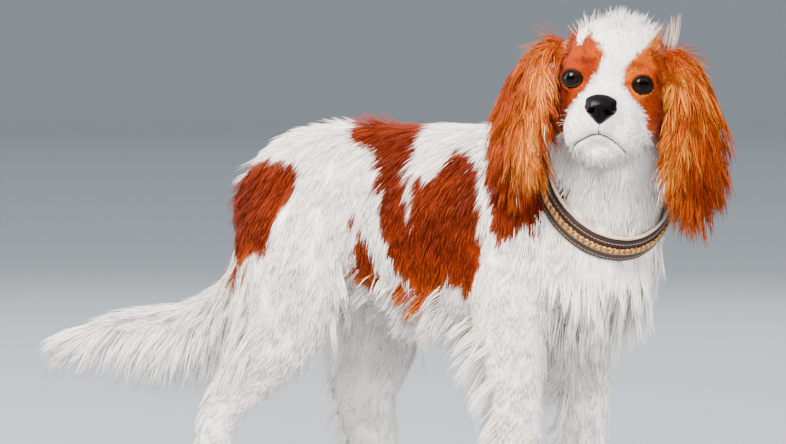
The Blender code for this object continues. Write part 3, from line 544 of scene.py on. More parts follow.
@dataclass(frozen=True)
class BridleLeather:
    """Vegetable-tanned leather, dyed and waxed: fine pores, soft shine, paler where it bends."""

    name: str
    colour: str
    worn: str
    roughness: float = 0.42
    pore: float = 0.0009

    def make(self) -> Any:
        """The material, with pores and creases.

        Returns:
            The material.
        """
        recipe = Recipe(self.name)
        place = recipe.add("TexCoord", out="Object")
        pores = recipe.add("TexVoronoi", {"Vector": place, "Scale": 1.0 / self.pore}, "Distance",
                           feature="F1")
        # Creases about 7 mm apart
        crease = recipe.add("TexNoise", {"Vector": place, "Scale": 140.0, "Detail": 6.0,
                                         "Roughness": 0.65}, "Fac")
        high = recipe.add("Math", {0: crease, 1: 0.45}, operation="SUBTRACT")
        wear = recipe.add("Math", {0: high, 1: 1.8}, operation="MULTIPLY")
        colour = recipe.add("Mix", {0: wear, 6: linear(self.colour), 7: linear(self.worn)}, 2,
                            data_type="RGBA")
        rough = recipe.add("Math", {0: crease, 1: 0.25, 2: self.roughness - 0.1}, operation="MULTIPLY_ADD")
        small = recipe.add("Math", {0: pores, 1: 0.5}, operation="MULTIPLY")
        height = recipe.add("Math", {0: small, 1: crease}, operation="ADD")
        bump = recipe.add("Bump", {"Height": height, "Strength": 0.35, "Distance": 0.0003})
        recipe.set(Base_Color=colour, Roughness=rough, Normal=bump)
        return recipe.material


@dataclass(frozen=True)
class WaxedCord:
    """Twisted and waxed cotton cord, dyed gold: slanting strands of thread, slightly glossy."""

    name: str = "waxed_cord_gold"
    dark: str = "#6b451c"
    gold: str = "#c9955a"

    def make(self) -> Any:
        """The material, which reads the length and turn of each cord for its twist.

        Returns:
            The material.
        """
        recipe = Recipe(self.name)
        data = recipe.add("Attribute", out="Fac", attribute_name="Twist", attribute_type="GEOMETRY")
        swing = recipe.add("Math", {0: data}, operation="SINE")
        wave = recipe.add("Math", {0: swing, 1: 0.5, 2: 0.5}, operation="MULTIPLY_ADD")
        # Darker where the twist dips, between the strands: painted shade in the grooves
        colour = recipe.add("Mix", {0: wave, 6: linear(self.dark), 7: linear(self.gold)}, 2,
                            data_type="RGBA")
        bump = recipe.add("Bump", {"Height": wave, "Strength": 0.6, "Distance": 0.0004})
        recipe.set(Base_Color=colour, Roughness=0.5, Normal=bump)
        return recipe.material


@dataclass(frozen=True)
class SpunThread:
    """Bonded polyester sewing thread, pale: lies in its needle holes with a dull shine."""

    name: str = "sewing_thread_pale"
    colour: str = "#b89b74"
    dark: str = "#7d6544"

    def make(self) -> Any:
        """The material, with the ply of the thread.

        Returns:
            The material.
        """
        recipe = Recipe(self.name)
        place = recipe.add("TexCoord", out="Object")
        # Plies about 0.4 mm apart
        ply = recipe.add("TexNoise", {"Vector": place, "Scale": 2500.0}, "Fac")
        colour = recipe.add("Mix", {0: ply, 6: linear(self.dark), 7: linear(self.colour)}, 2,
                            data_type="RGBA")
        recipe.set(Base_Color=colour, Roughness=0.6)
        return recipe.material


@dataclass(frozen=True)
class BuckleSteel:
    """Nickel-plated steel, polished: bright, with fine scratches from use."""

    name: str = "nickel_plated_steel"
    colour: str = "#c9c6c0"

    def make(self) -> Any:
        """The material, metallic with fine scratches.

        Returns:
            The material.
        """
        recipe = Recipe(self.name)
        place = recipe.add("TexCoord", out="Object")
        # Scratches about 1.5 mm apart
        scratch = recipe.add("TexNoise", {"Vector": place, "Scale": 700.0, "Detail": 5.0}, "Fac")
        rough = recipe.add("Math", {0: scratch, 1: 0.22, 2: 0.12}, operation="MULTIPLY_ADD")
        bump = recipe.add("Bump", {"Height": scratch, "Strength": 0.08, "Distance": 0.0002})
        recipe.set(Base_Color=linear(self.colour), Metallic=1.0, Roughness=rough, Normal=bump)
        return recipe.material


@dataclass(frozen=True)
class StudioPaper:
    """Seamless studio paper, matt and pale, with a faint tooth."""

    name: str = "studio_paper"
    colour: str = "#878f96"
    light: str = "#8c949a"

    def make(self) -> Any:
        """The material, nearly even.

        Returns:
            The material.
        """
        recipe = Recipe(self.name)
        place = recipe.add("TexCoord", out="Object")
        tooth = recipe.add("TexNoise", {"Vector": place, "Scale": 60.0, "Detail": 3.0}, "Fac")
        colour = recipe.add("Mix", {0: tooth, 6: linear(self.colour), 7: linear(self.light)}, 2,
                            data_type="RGBA")
        recipe.set(Base_Color=colour, Roughness=0.9)
        return recipe.material


# The body


@dataclass
class Limb:
    """One long form of the body: its smoothed stations and the way its hair lies."""

    name: str
    rows: Array
    centres: Array = field(init=False)
    ways: Array = field(init=False)
    radii: Array = field(init=False)

    def __post_init__(self) -> None:
        """Works out the middle line, its direction and the mean radius."""
        self.centres = self.rows[:, :3]
        self.ways = unit(np.gradient(self.centres, axis=0))
        self.radii = 0.5 * (self.rows[:, 3] + self.rows[:, 4])

    def nearness(self, points: Array) -> tuple[Array, Array, Array]:
        """How near points lie to the form.

        Args:
            points: Places, one a row.

        Returns:
            Distance over radius, the middle line's direction there, and the share along it.
        """
        best = np.full(len(points), np.inf)
        index = np.zeros(len(points), int)
        for k, (centre, radius) in enumerate(zip(self.centres, self.radii)):
            ratio = np.linalg.norm(points - centre, axis=1) / radius
            nearer = ratio < best
            best[nearer] = ratio[nearer]
            index[nearer] = k
        return best, self.ways[index], index / (len(self.centres) - 1)


@dataclass
class Anatomy:
    """The body's measures, nearly the solids': the face is turned a little further."""

    trunk: tuple = (
        (-0.203, 0.0, 0.262, 0.022, 0.024), (-0.194, 0.0, 0.259, 0.042, 0.044),
        (-0.172, 0.0, 0.257, 0.058, 0.060), (-0.138, 0.0, 0.260, 0.067, 0.073),
        (-0.095, 0.0, 0.258, 0.068, 0.080), (-0.045, 0.0, 0.249, 0.072, 0.089),
        (0.005, 0.0, 0.241, 0.077, 0.097), (0.055, 0.0, 0.237, 0.079, 0.099),
        (0.100, 0.0, 0.232, 0.076, 0.092), (0.142, 0.0, 0.226, 0.069, 0.078),
        (0.177, 0.0, 0.222, 0.055, 0.058), (0.197, 0.0, 0.220, 0.030, 0.032),
    )
    neck: tuple = (
        (0.138, 0.014, 0.190, 0.042, 0.042), (0.149, 0.008, 0.235, 0.056, 0.057),
        (0.158, 0.000, 0.275, 0.057, 0.058), (0.162, -0.004, 0.312, 0.052, 0.055),
        (0.167, -0.009, 0.345, 0.046, 0.048), (0.171, -0.013, 0.372, 0.036, 0.038),
    )
    nape: tuple = (
        (0.055, 0.000, 0.274, 0.054, 0.056), (0.095, 0.004, 0.271, 0.052, 0.056),
        (0.126, 0.010, 0.272, 0.046, 0.053),
    )
    foreleg: tuple = (
        (-0.010, 0.046, 0.235, 0.026, 0.036), (-0.002, 0.052, 0.195, 0.029, 0.040),
        (0.0, 0.054, 0.150, 0.026, 0.033), (0.003, 0.053, 0.105, 0.022, 0.027),
        (0.005, 0.052, 0.060, 0.020, 0.024), (0.007, 0.052, 0.030, 0.020, 0.023),
        (0.010, 0.052, 0.014, 0.017, 0.020),
    )
    foreleg_at: tuple = (0.096, 0.108)
    hindleg_right: tuple = (
        (-0.125, -0.036, 0.275, 0.026, 0.045), (-0.128, -0.048, 0.235, 0.032, 0.058),
        (-0.130, -0.053, 0.190, 0.031, 0.055), (-0.139, -0.054, 0.145, 0.027, 0.044),
        (-0.168, -0.054, 0.108, 0.021, 0.031), (-0.196, -0.054, 0.080, 0.018, 0.024),
        (-0.206, -0.054, 0.048, 0.018, 0.020), (-0.209, -0.054, 0.024, 0.019, 0.021),
        (-0.206, -0.054, 0.012, 0.016, 0.018),
    )
    hindleg_left: tuple = (
        (-0.122, 0.036, 0.275, 0.026, 0.045), (-0.118, 0.048, 0.235, 0.032, 0.055),
        (-0.106, 0.053, 0.190, 0.031, 0.052), (-0.099, 0.054, 0.150, 0.027, 0.045),
        (-0.106, 0.054, 0.115, 0.023, 0.040), (-0.114, 0.054, 0.084, 0.021, 0.034),
        (-0.106, 0.054, 0.048, 0.020, 0.028), (-0.103, 0.054, 0.024, 0.020, 0.025),
        (-0.100, 0.054, 0.012, 0.016, 0.019),
    )
    tail: tuple = (
        (-0.168, 0.000, 0.286, 0.017, 0.017), (-0.190, 0.000, 0.268, 0.017, 0.017),
        (-0.199, 0.000, 0.240, 0.015, 0.016), (-0.206, 0.000, 0.204, 0.014, 0.015),
        (-0.224, 0.000, 0.176, 0.013, 0.016), (-0.258, 0.000, 0.157, 0.012, 0.016),
        (-0.300, 0.000, 0.149, 0.010, 0.014), (-0.344, 0.000, 0.144, 0.008, 0.010),
        (-0.380, 0.000, 0.134, 0.004, 0.005),
    )
    ear: tuple = (
        (-0.034, 0.036, 0.022, 0.013, 0.0070), (-0.031, 0.054, 0.022, 0.018, 0.0065),
        (-0.027, 0.065, 0.006, 0.026, 0.0060), (-0.024, 0.072, -0.020, 0.031, 0.0055),
        (-0.022, 0.076, -0.048, 0.031, 0.0050), (-0.022, 0.078, -0.070, 0.023, 0.0045),
        (-0.022, 0.079, -0.086, 0.010, 0.0035),
    )
    ear_face: tuple = (0.72, 0.69, 0.0)
    head_at: tuple = (0.1915, -0.0595, 0.3680)
    head_turn_deg: float = -65.5
    face_turn_deg: float = -3.5
    head_roll_deg: float = -5.0
    head_pitch_deg: float = 0.5
    skull_at: tuple = (-0.022, 0.0, -0.008)
    skull_size: tuple = (0.070, 0.050, 0.058)
    paw: tuple = (0.031, 0.0235, 0.0215)
    paw_forward: float = 0.011
    toe_radius: float = 0.0105
    toe_gap: float = 0.0102
    toe_slant: float = 0.004
    coat_depth: dict = field(default_factory=lambda: {
        "trunk": 0.0060, "neck": 0.0050, "nape": 0.0060, "foreleg": 0.0030, "hindleg": 0.0040,
        "tail": 0.0030, "ear": 0.0020,
    })

    def head_matrix(self, ears: bool = False) -> Matrix:
        """From the head's own axes to the frame: the face is turned a little further than the ears.

        Args:
            ears: Whether the matrix is the ears'.

        Returns:
            The matrix.
        """
        turn = Euler((math.radians(self.head_roll_deg), math.radians(self.head_pitch_deg), 0.0))
        swing_deg = self.head_turn_deg + (0.0 if ears else self.face_turn_deg)
        swing = Matrix.Rotation(math.radians(swing_deg), 4, "Z")
        place = Vector(self.head_at) + Vector(BODY_SHIFT)
        return Matrix.Translation(place) @ swing @ turn.to_matrix().to_4x4()

    def to_head(self, points: Array) -> Array:
        """Frame places in the head's own axes."""
        return moved(points, self.head_matrix().inverted())

    def from_head(self, points: Array) -> Array:
        """Places in the head's own axes as frame places."""
        return moved(points, self.head_matrix())

    def head_way(self, ways: Array) -> Array:
        """Directions in the head's own axes as frame directions."""
        return np.asarray(ways, float) @ np.array(self.head_matrix())[:3, :3].T

    def leg_rows(self) -> dict[str, Array]:
        """The four legs' stations in body places, by name.

        Returns:
            The rows of each.
        """
        rows = {"hindleg_right": np.array(self.hindleg_right), "hindleg_left": np.array(self.hindleg_left)}
        for side, x in zip((Side.RIGHT, Side.LEFT), self.foreleg_at):
            leg = np.array(self.foreleg)
            leg[:, 0] += x
            leg[:, 1] *= side.value
            rows[f"foreleg_{side.name.lower()}"] = leg
        return rows

    def ear_rows(self, side: Side) -> Array:
        """One ear's stations in frame places.

        Args:
            side: Which ear.

        Returns:
            The rows.
        """
        rows = np.array(self.ear)
        rows[:, 1] *= side.value
        rows[:, :3] = moved(rows[:, :3], self.head_matrix(ears=True))
        return rows

    def ear_out(self, side: Side) -> Array:
        """The way that an ear's outer face looks, in the frame."""
        return self.head_way((self.ear_face[0], side.value * self.ear_face[1], 0.0))

    def ear_ahead(self, side: Side) -> Array:
        """The way from an ear's middle line to its front edge, in the frame."""
        return self.head_way((self.ear_face[1], -side.value * self.ear_face[0], 0.0))

    def limbs(self) -> dict[str, Limb]:
        """Every long form, in frame places, by name.

        Returns:
            The forms.
        """
        tables = {"trunk": self.trunk, "neck": self.neck, "nape": self.nape, "tail": self.tail}
        tables.update(self.leg_rows())
        out = {}
        for name, rows in tables.items():
            smooth = smooth_rows(rows, 4)
            smooth[:, :3] += BODY_SHIFT
            out[name] = Limb(name, smooth)
        for side in Side:
            name = f"ear_{side.name.lower()}"
            out[name] = Limb(name, smooth_rows(self.ear_rows(side), 4))
        return out


def tube(name: str, rows: Array, face: Sequence[float], sides: int = 24) -> Any:
    """A closed tube of oval section through stations of x, y, z, half width and half depth.

    Args:
        name: The object's name.
        rows: The stations, in frame places.
        face: The way that the depth is measured along.
        sides: Corners of each section.

    Returns:
        The object.
    """
    centres, ways = rows[:, :3], unit(np.gradient(rows[:, :3], axis=0))
    face = np.array(face, float)
    out = unit(face - ways * (ways @ face)[:, None])
    across = np.cross(ways, out)
    turn = np.linspace(0, 2 * math.pi, sides, endpoint=False)
    ring = across[:, None] * np.cos(turn)[None, :, None] * rows[:, 3][:, None, None]
    ring = ring + out[:, None] * np.sin(turn)[None, :, None] * rows[:, 4][:, None, None]
    points = (centres[:, None] + ring).reshape(-1, 3)
    faces = ring_faces(len(rows), sides, closed=False)
    faces.append(tuple(reversed(range(sides))))
    faces.append(tuple(range(len(points) - sides, len(points))))
    return faced_out(piece_from(name, points, faces))


def ellipsoid(name: str, centre: Sequence[float], sizes: Sequence[float], matrix: Matrix) -> Any:
    """A sphere stretched to three half sizes.

    Args:
        name: The object's name.
        centre: Its middle, in the axes.
        sizes: Its three half sizes.
        matrix: From the axes to the frame.

    Returns:
        The object.
    """
    shape = bmesh.new()
    bmesh.ops.create_uvsphere(shape, u_segments=36, v_segments=18, radius=1.0)
    whole = matrix @ Matrix.Translation(centre) @ Matrix.Diagonal((*sizes, 1.0))
    bmesh.ops.transform(shape, verts=shape.verts, matrix=whole)
    return linked(name, mesh_from(name, shape))


def lid_ring(whole: Matrix, ball: float, almond: Sequence[float], upper: float, lower: float) -> Any:
    """A closed round tube along an almond that lies on an eyeball.

    Args:
        whole: From the eye's axes, +Z along its look and +Y up, to the frame.
        ball: The radius that the almond lies on.
        almond: Its half width, its half height, and how far its corners drop.
        upper: The tube's radius at the top.
        lower: The tube's radius at the bottom.

    Returns:
        The object.
    """
    wide, high, drop = almond
    count, sides = 72, 10
    path, radii = [], []
    for k in range(count):
        turn = 2 * math.pi * k / count
        x = wide * math.cos(turn)
        y = high * math.copysign(abs(math.sin(turn)) ** 1.2, math.sin(turn)) - drop * math.cos(turn) ** 2
        path.append(Vector((x, y, math.sqrt(max(ball * ball - x * x - y * y, 1e-7)))))
        radii.append(lower + (upper - lower) * (0.5 + 0.5 * math.sin(turn)))
    points = []
    for k, place in enumerate(path):
        along = (path[(k + 1) % count] - path[k - 1]).normalized()
        out = place.normalized()
        across = along.cross(out)
        for n in range(sides):
            turn = 2 * math.pi * n / sides
            points.append(whole @ (place + (out * math.cos(turn) + across * math.sin(turn)) * radii[k]))
    return faced_out(piece_from("ring", points, ring_faces(count, sides)))


@dataclass(frozen=True)
class CollarLine:
    """Where the collar lies: an oval round the neck, wider at its lower edge."""

    at: tuple = (0.158, 0.000, 0.2818)
    axis: tuple = (0.575, -0.526, 0.627)
    long: float = 0.0690
    wide: float = 0.0550
    flare: float = 0.0030
    width: float = 0.0245
    thick: float = 0.0032
    gap: float = 0.0003
    lining_width: float = 0.0030
    reach: float = 0.0450
    skin_under: float = 0.0014
    skin_slope: float = 1.6
    hair_reach: float = 0.0120
    hair_under: float = 0.0002
    hair_slope: float = 3.0

    def matrix(self) -> Matrix:
        """From the collar's axes, +Z up the neck and +X to its lowest place, to the frame."""
        axis = Vector(self.axis).normalized()
        down = (Vector((0, 0, -1)) + axis * axis.z).normalized()
        turn = Matrix((down, axis.cross(down), axis)).transposed().to_4x4()
        return Matrix.Translation(Vector(self.at) + Vector(BODY_SHIFT)) @ turn

    def point(self, turn: float, out: float, height: float) -> Array:
        """A place on the collar.

        Args:
            turn: The turn from its lowest place.
            out: The distance out.
            height: The height over its middle.

        Returns:
            The place in the frame.
        """
        grow = out - self.flare * height / self.width
        place = Vector(((self.long + grow) * math.cos(turn), (self.wide + grow) * math.sin(turn), height))
        return np.array(self.matrix() @ place)

    def beside(self, points: Array) -> tuple[Array, Array, Array, Array]:
        """Where points lie by the strap.

        Args:
            points: Frame places, one a row.

        Returns:
            Places in the collar's axes, distance from them, distance out and distance off its edges.
        """
        local = moved(points, self.matrix().inverted())
        radius = np.maximum(np.hypot(local[:, 0], local[:, 1]), 1e-6)
        cosine, sine = local[:, 0] / radius, local[:, 1] / radius
        oval = self.long * self.wide / np.hypot(self.wide * cosine, self.long * sine)
        out = radius - oval + self.flare * local[:, 2] / self.width
        half = (self.width + self.lining_width + self.gap) / 2
        off = np.maximum(np.abs(local[:, 2] - self.lining_width / 2) - half, 0.0)
        return local, radius, out, off

    def seated(self, points: Array, under: float, slope: float, reach: float) -> Array:
        """Places moved in under the strap.

        Args:
            points: Frame places, one a row.
            under: How far inside the strap they stay.
            slope: How steeply they may rise beside its edges.
            reach: How far outside the strap places still move.

        Returns:
            The places.
        """
        local, radius, out, off = self.beside(points)
        limit = slope * off - under
        over = (out > limit) & (out < reach) & (off < 0.020)
        pressed = (out - limit) * smoothstep(reach, 0.6 * reach, out)
        local[over, :2] *= (1.0 - pressed / radius)[over, None]
        return moved(local, self.matrix())


@dataclass
class Markings:
    """Where the coat is chestnut, and how golden it is there."""

    body: Anatomy
    # Outlines of the chestnut patches in the side view from the right: x and z on the plane of the flank
    saddle: tuple = (
        (-0.080, 0.338), (-0.061, 0.335), (-0.053, 0.332), (-0.060, 0.325), (-0.053, 0.318), (-0.034, 0.305),
        (-0.029, 0.280), (-0.028, 0.254), (-0.022, 0.231), (-0.012, 0.205), (0.005, 0.188), (0.024, 0.170),
        (0.035, 0.185), (0.041, 0.197), (0.050, 0.191), (0.058, 0.183), (0.069, 0.201), (0.074, 0.224),
        (0.073, 0.256), (0.070, 0.290), (0.067, 0.301), (0.050, 0.312), (0.041, 0.304), (0.029, 0.289),
        (0.024, 0.286), (0.011, 0.285), (0.005, 0.266), (0.003, 0.240), (0.000, 0.255), (-0.001, 0.279),
        (0.003, 0.298), (0.011, 0.311), (0.007, 0.318), (0.013, 0.326), (0.027, 0.335), (-0.006, 0.350),
        (-0.046, 0.358), (-0.085, 0.350),
    )
    rump: tuple = (
        (-0.170, 0.282), (-0.162, 0.293), (-0.141, 0.300), (-0.117, 0.298), (-0.112, 0.289), (-0.113, 0.277),
        (-0.123, 0.262), (-0.133, 0.247), (-0.139, 0.232), (-0.144, 0.220), (-0.160, 0.213), (-0.172, 0.206),
        (-0.200, 0.208), (-0.230, 0.224), (-0.230, 0.270), (-0.190, 0.290),
    )
    flank: tuple = (
        (-0.061, 0.250), (-0.049, 0.240), (-0.053, 0.228), (-0.055, 0.217), (-0.051, 0.204), (-0.040, 0.191),
        (-0.031, 0.183), (-0.027, 0.195), (-0.034, 0.211), (-0.042, 0.230), (-0.053, 0.247),
    )
    shoulder: tuple = (
        (0.080, 0.312), (0.083, 0.272), (0.085, 0.245), (0.091, 0.233), (0.096, 0.240), (0.116, 0.246),
        (0.134, 0.256), (0.160, 0.275), (0.170, 0.300), (0.150, 0.330), (0.093, 0.335),
    )
    flank_y: float = -0.07
    view_slope: float = 0.577
    # Each height above the eyes, with half the white blaze's width there on the head's right and left
    blaze: tuple = (
        (-0.070, 0.090, 0.090), (-0.055, 0.060, 0.060), (-0.043, 0.036, 0.038), (-0.024, 0.030, 0.033),
        (-0.014, 0.024, 0.026), (-0.008, 0.018, 0.021), (0.0, 0.012, 0.013), (0.015, 0.006, 0.011),
        (0.026, 0.002, 0.021), (0.036, 0.010, 0.028), (0.044, 0.026, 0.033), (0.060, 0.029, 0.034),
    )
    nape_line: float = 0.008

    def inside(self, across: Array, up: Array, outline: tuple) -> Array:
        """How far places of the side view lie inside an outline, in metres, below 0 outside.

        Args:
            across: The x of each place.
            up: The z of each place.
            outline: The corners of the outline.

        Returns:
            One distance a place.
        """
        corners = np.array(outline)
        nearest = np.full(len(across), 9.0)
        crossings = np.zeros(len(across), int)
        for (x0, z0), (x1, z1) in zip(corners, np.roll(corners, -1, axis=0)):
            length = max((x1 - x0) ** 2 + (z1 - z0) ** 2, 1e-12)
            share = np.clip(((across - x0) * (x1 - x0) + (up - z0) * (z1 - z0)) / length, 0.0, 1.0)
            gap = np.hypot(across - x0 - share * (x1 - x0), up - z0 - share * (z1 - z0))
            nearest = np.minimum(nearest, gap)
            spans = (z0 > up) != (z1 > up)
            crossings += spans & (across < x0 + (up - z0) * (x1 - x0) / (z1 - z0 if z1 != z0 else 1e-9))
        return np.where(crossings % 2 == 1, nearest, -nearest)

    def on_body(self, points: Array) -> Array:
        """How far points of the body lie inside its chestnut, in metres.

        Args:
            points: Frame places, one a row.

        Returns:
            One distance a point, above 0 inside.
        """
        x, y, z = (points - BODY_SHIFT).T
        far = smoothstep(0.0, 0.03, y)
        stray = 0.016 * far
        # The right side is seen along the photograph's own slant, and the left is a freer copy of it
        across = x + self.view_slope * (np.where(y > 0, -y, y) - self.flank_y)
        across = across + stray * grain(points, 0.05, 31)
        up = z + stray * grain(points, 0.05, 32)
        cover = self.inside(across, up, self.saddle)
        for outline in (self.rump, self.flank):
            cover = np.maximum(cover, self.inside(across, up, outline))
        shoulder = self.inside(across, up, self.shoulder)
        cover = np.maximum(cover, np.where(x > 0.19, -0.1, shoulder))
        # Edges run out in points along the hair, which lies back and down
        along = np.stack((x * 0.40 + z * 0.92, y, (z * 0.40 - x * 0.92) * 3.2), axis=1)
        ragged = 0.0040 * grain(along, 0.016, 3) + 0.0028 * grain(along, 0.006, 5)
        return cover + ragged

    def on_head(self, points: Array) -> Array:
        """How far points of the head lie inside its chestnut, in metres.

        Args:
            points: Frame places, one a row.

        Returns:
            One distance a point, above 0 inside.
        """
        place = self.body.to_head(points)
        x, y, z = place.T
        heights, rights, lefts = np.array(self.blaze).T
        back = smoothstep(-0.045, -0.085, x)
        right = np.interp(z, heights, rights) * (1 - back) + self.nape_line * back
        left = np.interp(z, heights, lefts) * (1 - back) + self.nape_line * back
        ragged = 0.0026 * grain(place * np.array((1, 1, 0.5)), 0.006, 9)
        inside = np.maximum(-y - right, y - left) + ragged
        # A small white spot on the right of the forehead
        gap = 1.0 - np.sqrt(((y + 0.027) / 0.0045) ** 2 + ((z - 0.041) / 0.009) ** 2)
        inside = np.where((gap > 0) & (x > -0.03), -0.004, inside)
        under_jaw = smoothstep(-0.050, -0.058, z) * smoothstep(-0.09, -0.03, x)
        return inside - 0.05 * under_jaw

    def at(self, points: Array, head: Array, ear: Array, neck: Array, tail: Array) -> tuple[Array, Array]:
        """The marking and the tone of points.

        Args:
            points: Frame places, one a row.
            head: How much each belongs to the head, 0 to 1.
            ear: How much each belongs to an ear.
            neck: How much each belongs to the neck.
            tail: How much each belongs to the tail.

        Returns:
            The share of chestnut, and the tone from red-brown at 0 to gold at 1.
        """
        z = points[:, 2]
        # The tail is white below its base
        cover = self.on_body(points)
        cover = cover - 0.03 * tail * smoothstep(0.245, 0.225, z)
        mark = smoothstep(-0.0025, 0.0025, cover)
        tone = 0.16 + 0.42 * smoothstep(0.23, 0.165, z) + 0.10 * grain(points, 0.03, 7)
        tone = tone + 0.16 * smoothstep(0.006, 0.0, cover)
        # The face: golden over the brows and darker by the nape, with painted shade on the sides of the face
        # where the ears hang, in the crease under the brow ridge and in the fold of each cheek below and
        # outside the eye
        face = smoothstep(-0.0030, 0.0030, self.on_head(points))
        place = self.body.to_head(points)
        nape = smoothstep(0.03, -0.03, place[:, 0] + 0.040)
        brow = smoothstep(0.008, 0.030, place[:, 2])
        off = np.abs(place[:, 1])
        # outer: the sides of the face, darker there as painted shade where the ears hang
        outer = smoothstep(0.030, 0.042, off)
        face_tone = 0.50 + 0.14 * grain(points, 0.010, 8) - 0.12 * nape + 0.12 * brow - 0.28 * outer
        swing = np.where(place[:, 1] > 0, 0.13, 0.18)
        face_tone = face_tone + swing * np.clip(place[:, 1] / 0.010, -1.0, 1.0)
        # Painted shadow in the crease under the brow ridge
        crease = np.exp(-((place[:, 2] - 0.0195) / 0.0026) ** 2) * smoothstep(0.008, 0.014, off)
        face_tone = face_tone - 0.26 * crease * smoothstep(0.036, 0.026, off)
        # Painted shade in the fold of the cheek, below and outside each eye
        fold = np.sqrt((place[:, 0] + 0.004) ** 2 + (off - 0.040) ** 2 + (place[:, 2] + 0.014) ** 2)
        face_tone = face_tone - 0.24 * smoothstep(0.020, 0.008, fold)
        head = np.clip(head, 0, 1)
        mark = mark * (1 - head) + face * head
        tone = tone * (1 - head) + face_tone * head
        # The ears: golden at the top and by the cheek, red-brown at the ends, partly their own colour and
        # partly painted light from above; the far ear is paler gold by the cheek than the near one, as
        # painted light where it faces the lamps
        drop = smoothstep(0.03, -0.12, place[:, 2])
        inner = smoothstep(-0.030, 0.000, place[:, 0])
        far = place[:, 1] > 0
        # far: the far ear's paler gold by the cheek is painted light
        ear_tone = 0.54 - 0.34 * drop + np.where(far, 0.62, 0.30) * inner + 0.06 * far
        ear_tone = ear_tone + 0.34 * grain(points * np.array((1, 1, 0.3)), 0.007, 6)
        mark = mark * (1 - ear) + ear
        tone = tone * (1 - ear) + ear_tone * ear
        # The neck is chestnut only behind the head
        behind = smoothstep(0.0, -0.03, place[:, 0] + 0.045) * smoothstep(-0.075, -0.03, place[:, 2])
        mark = np.where(neck > 0.5, mark * (1 - neck) + behind * neck, mark)
        return np.clip(mark, 0, 1), np.clip(tone, 0.0, 1.0)


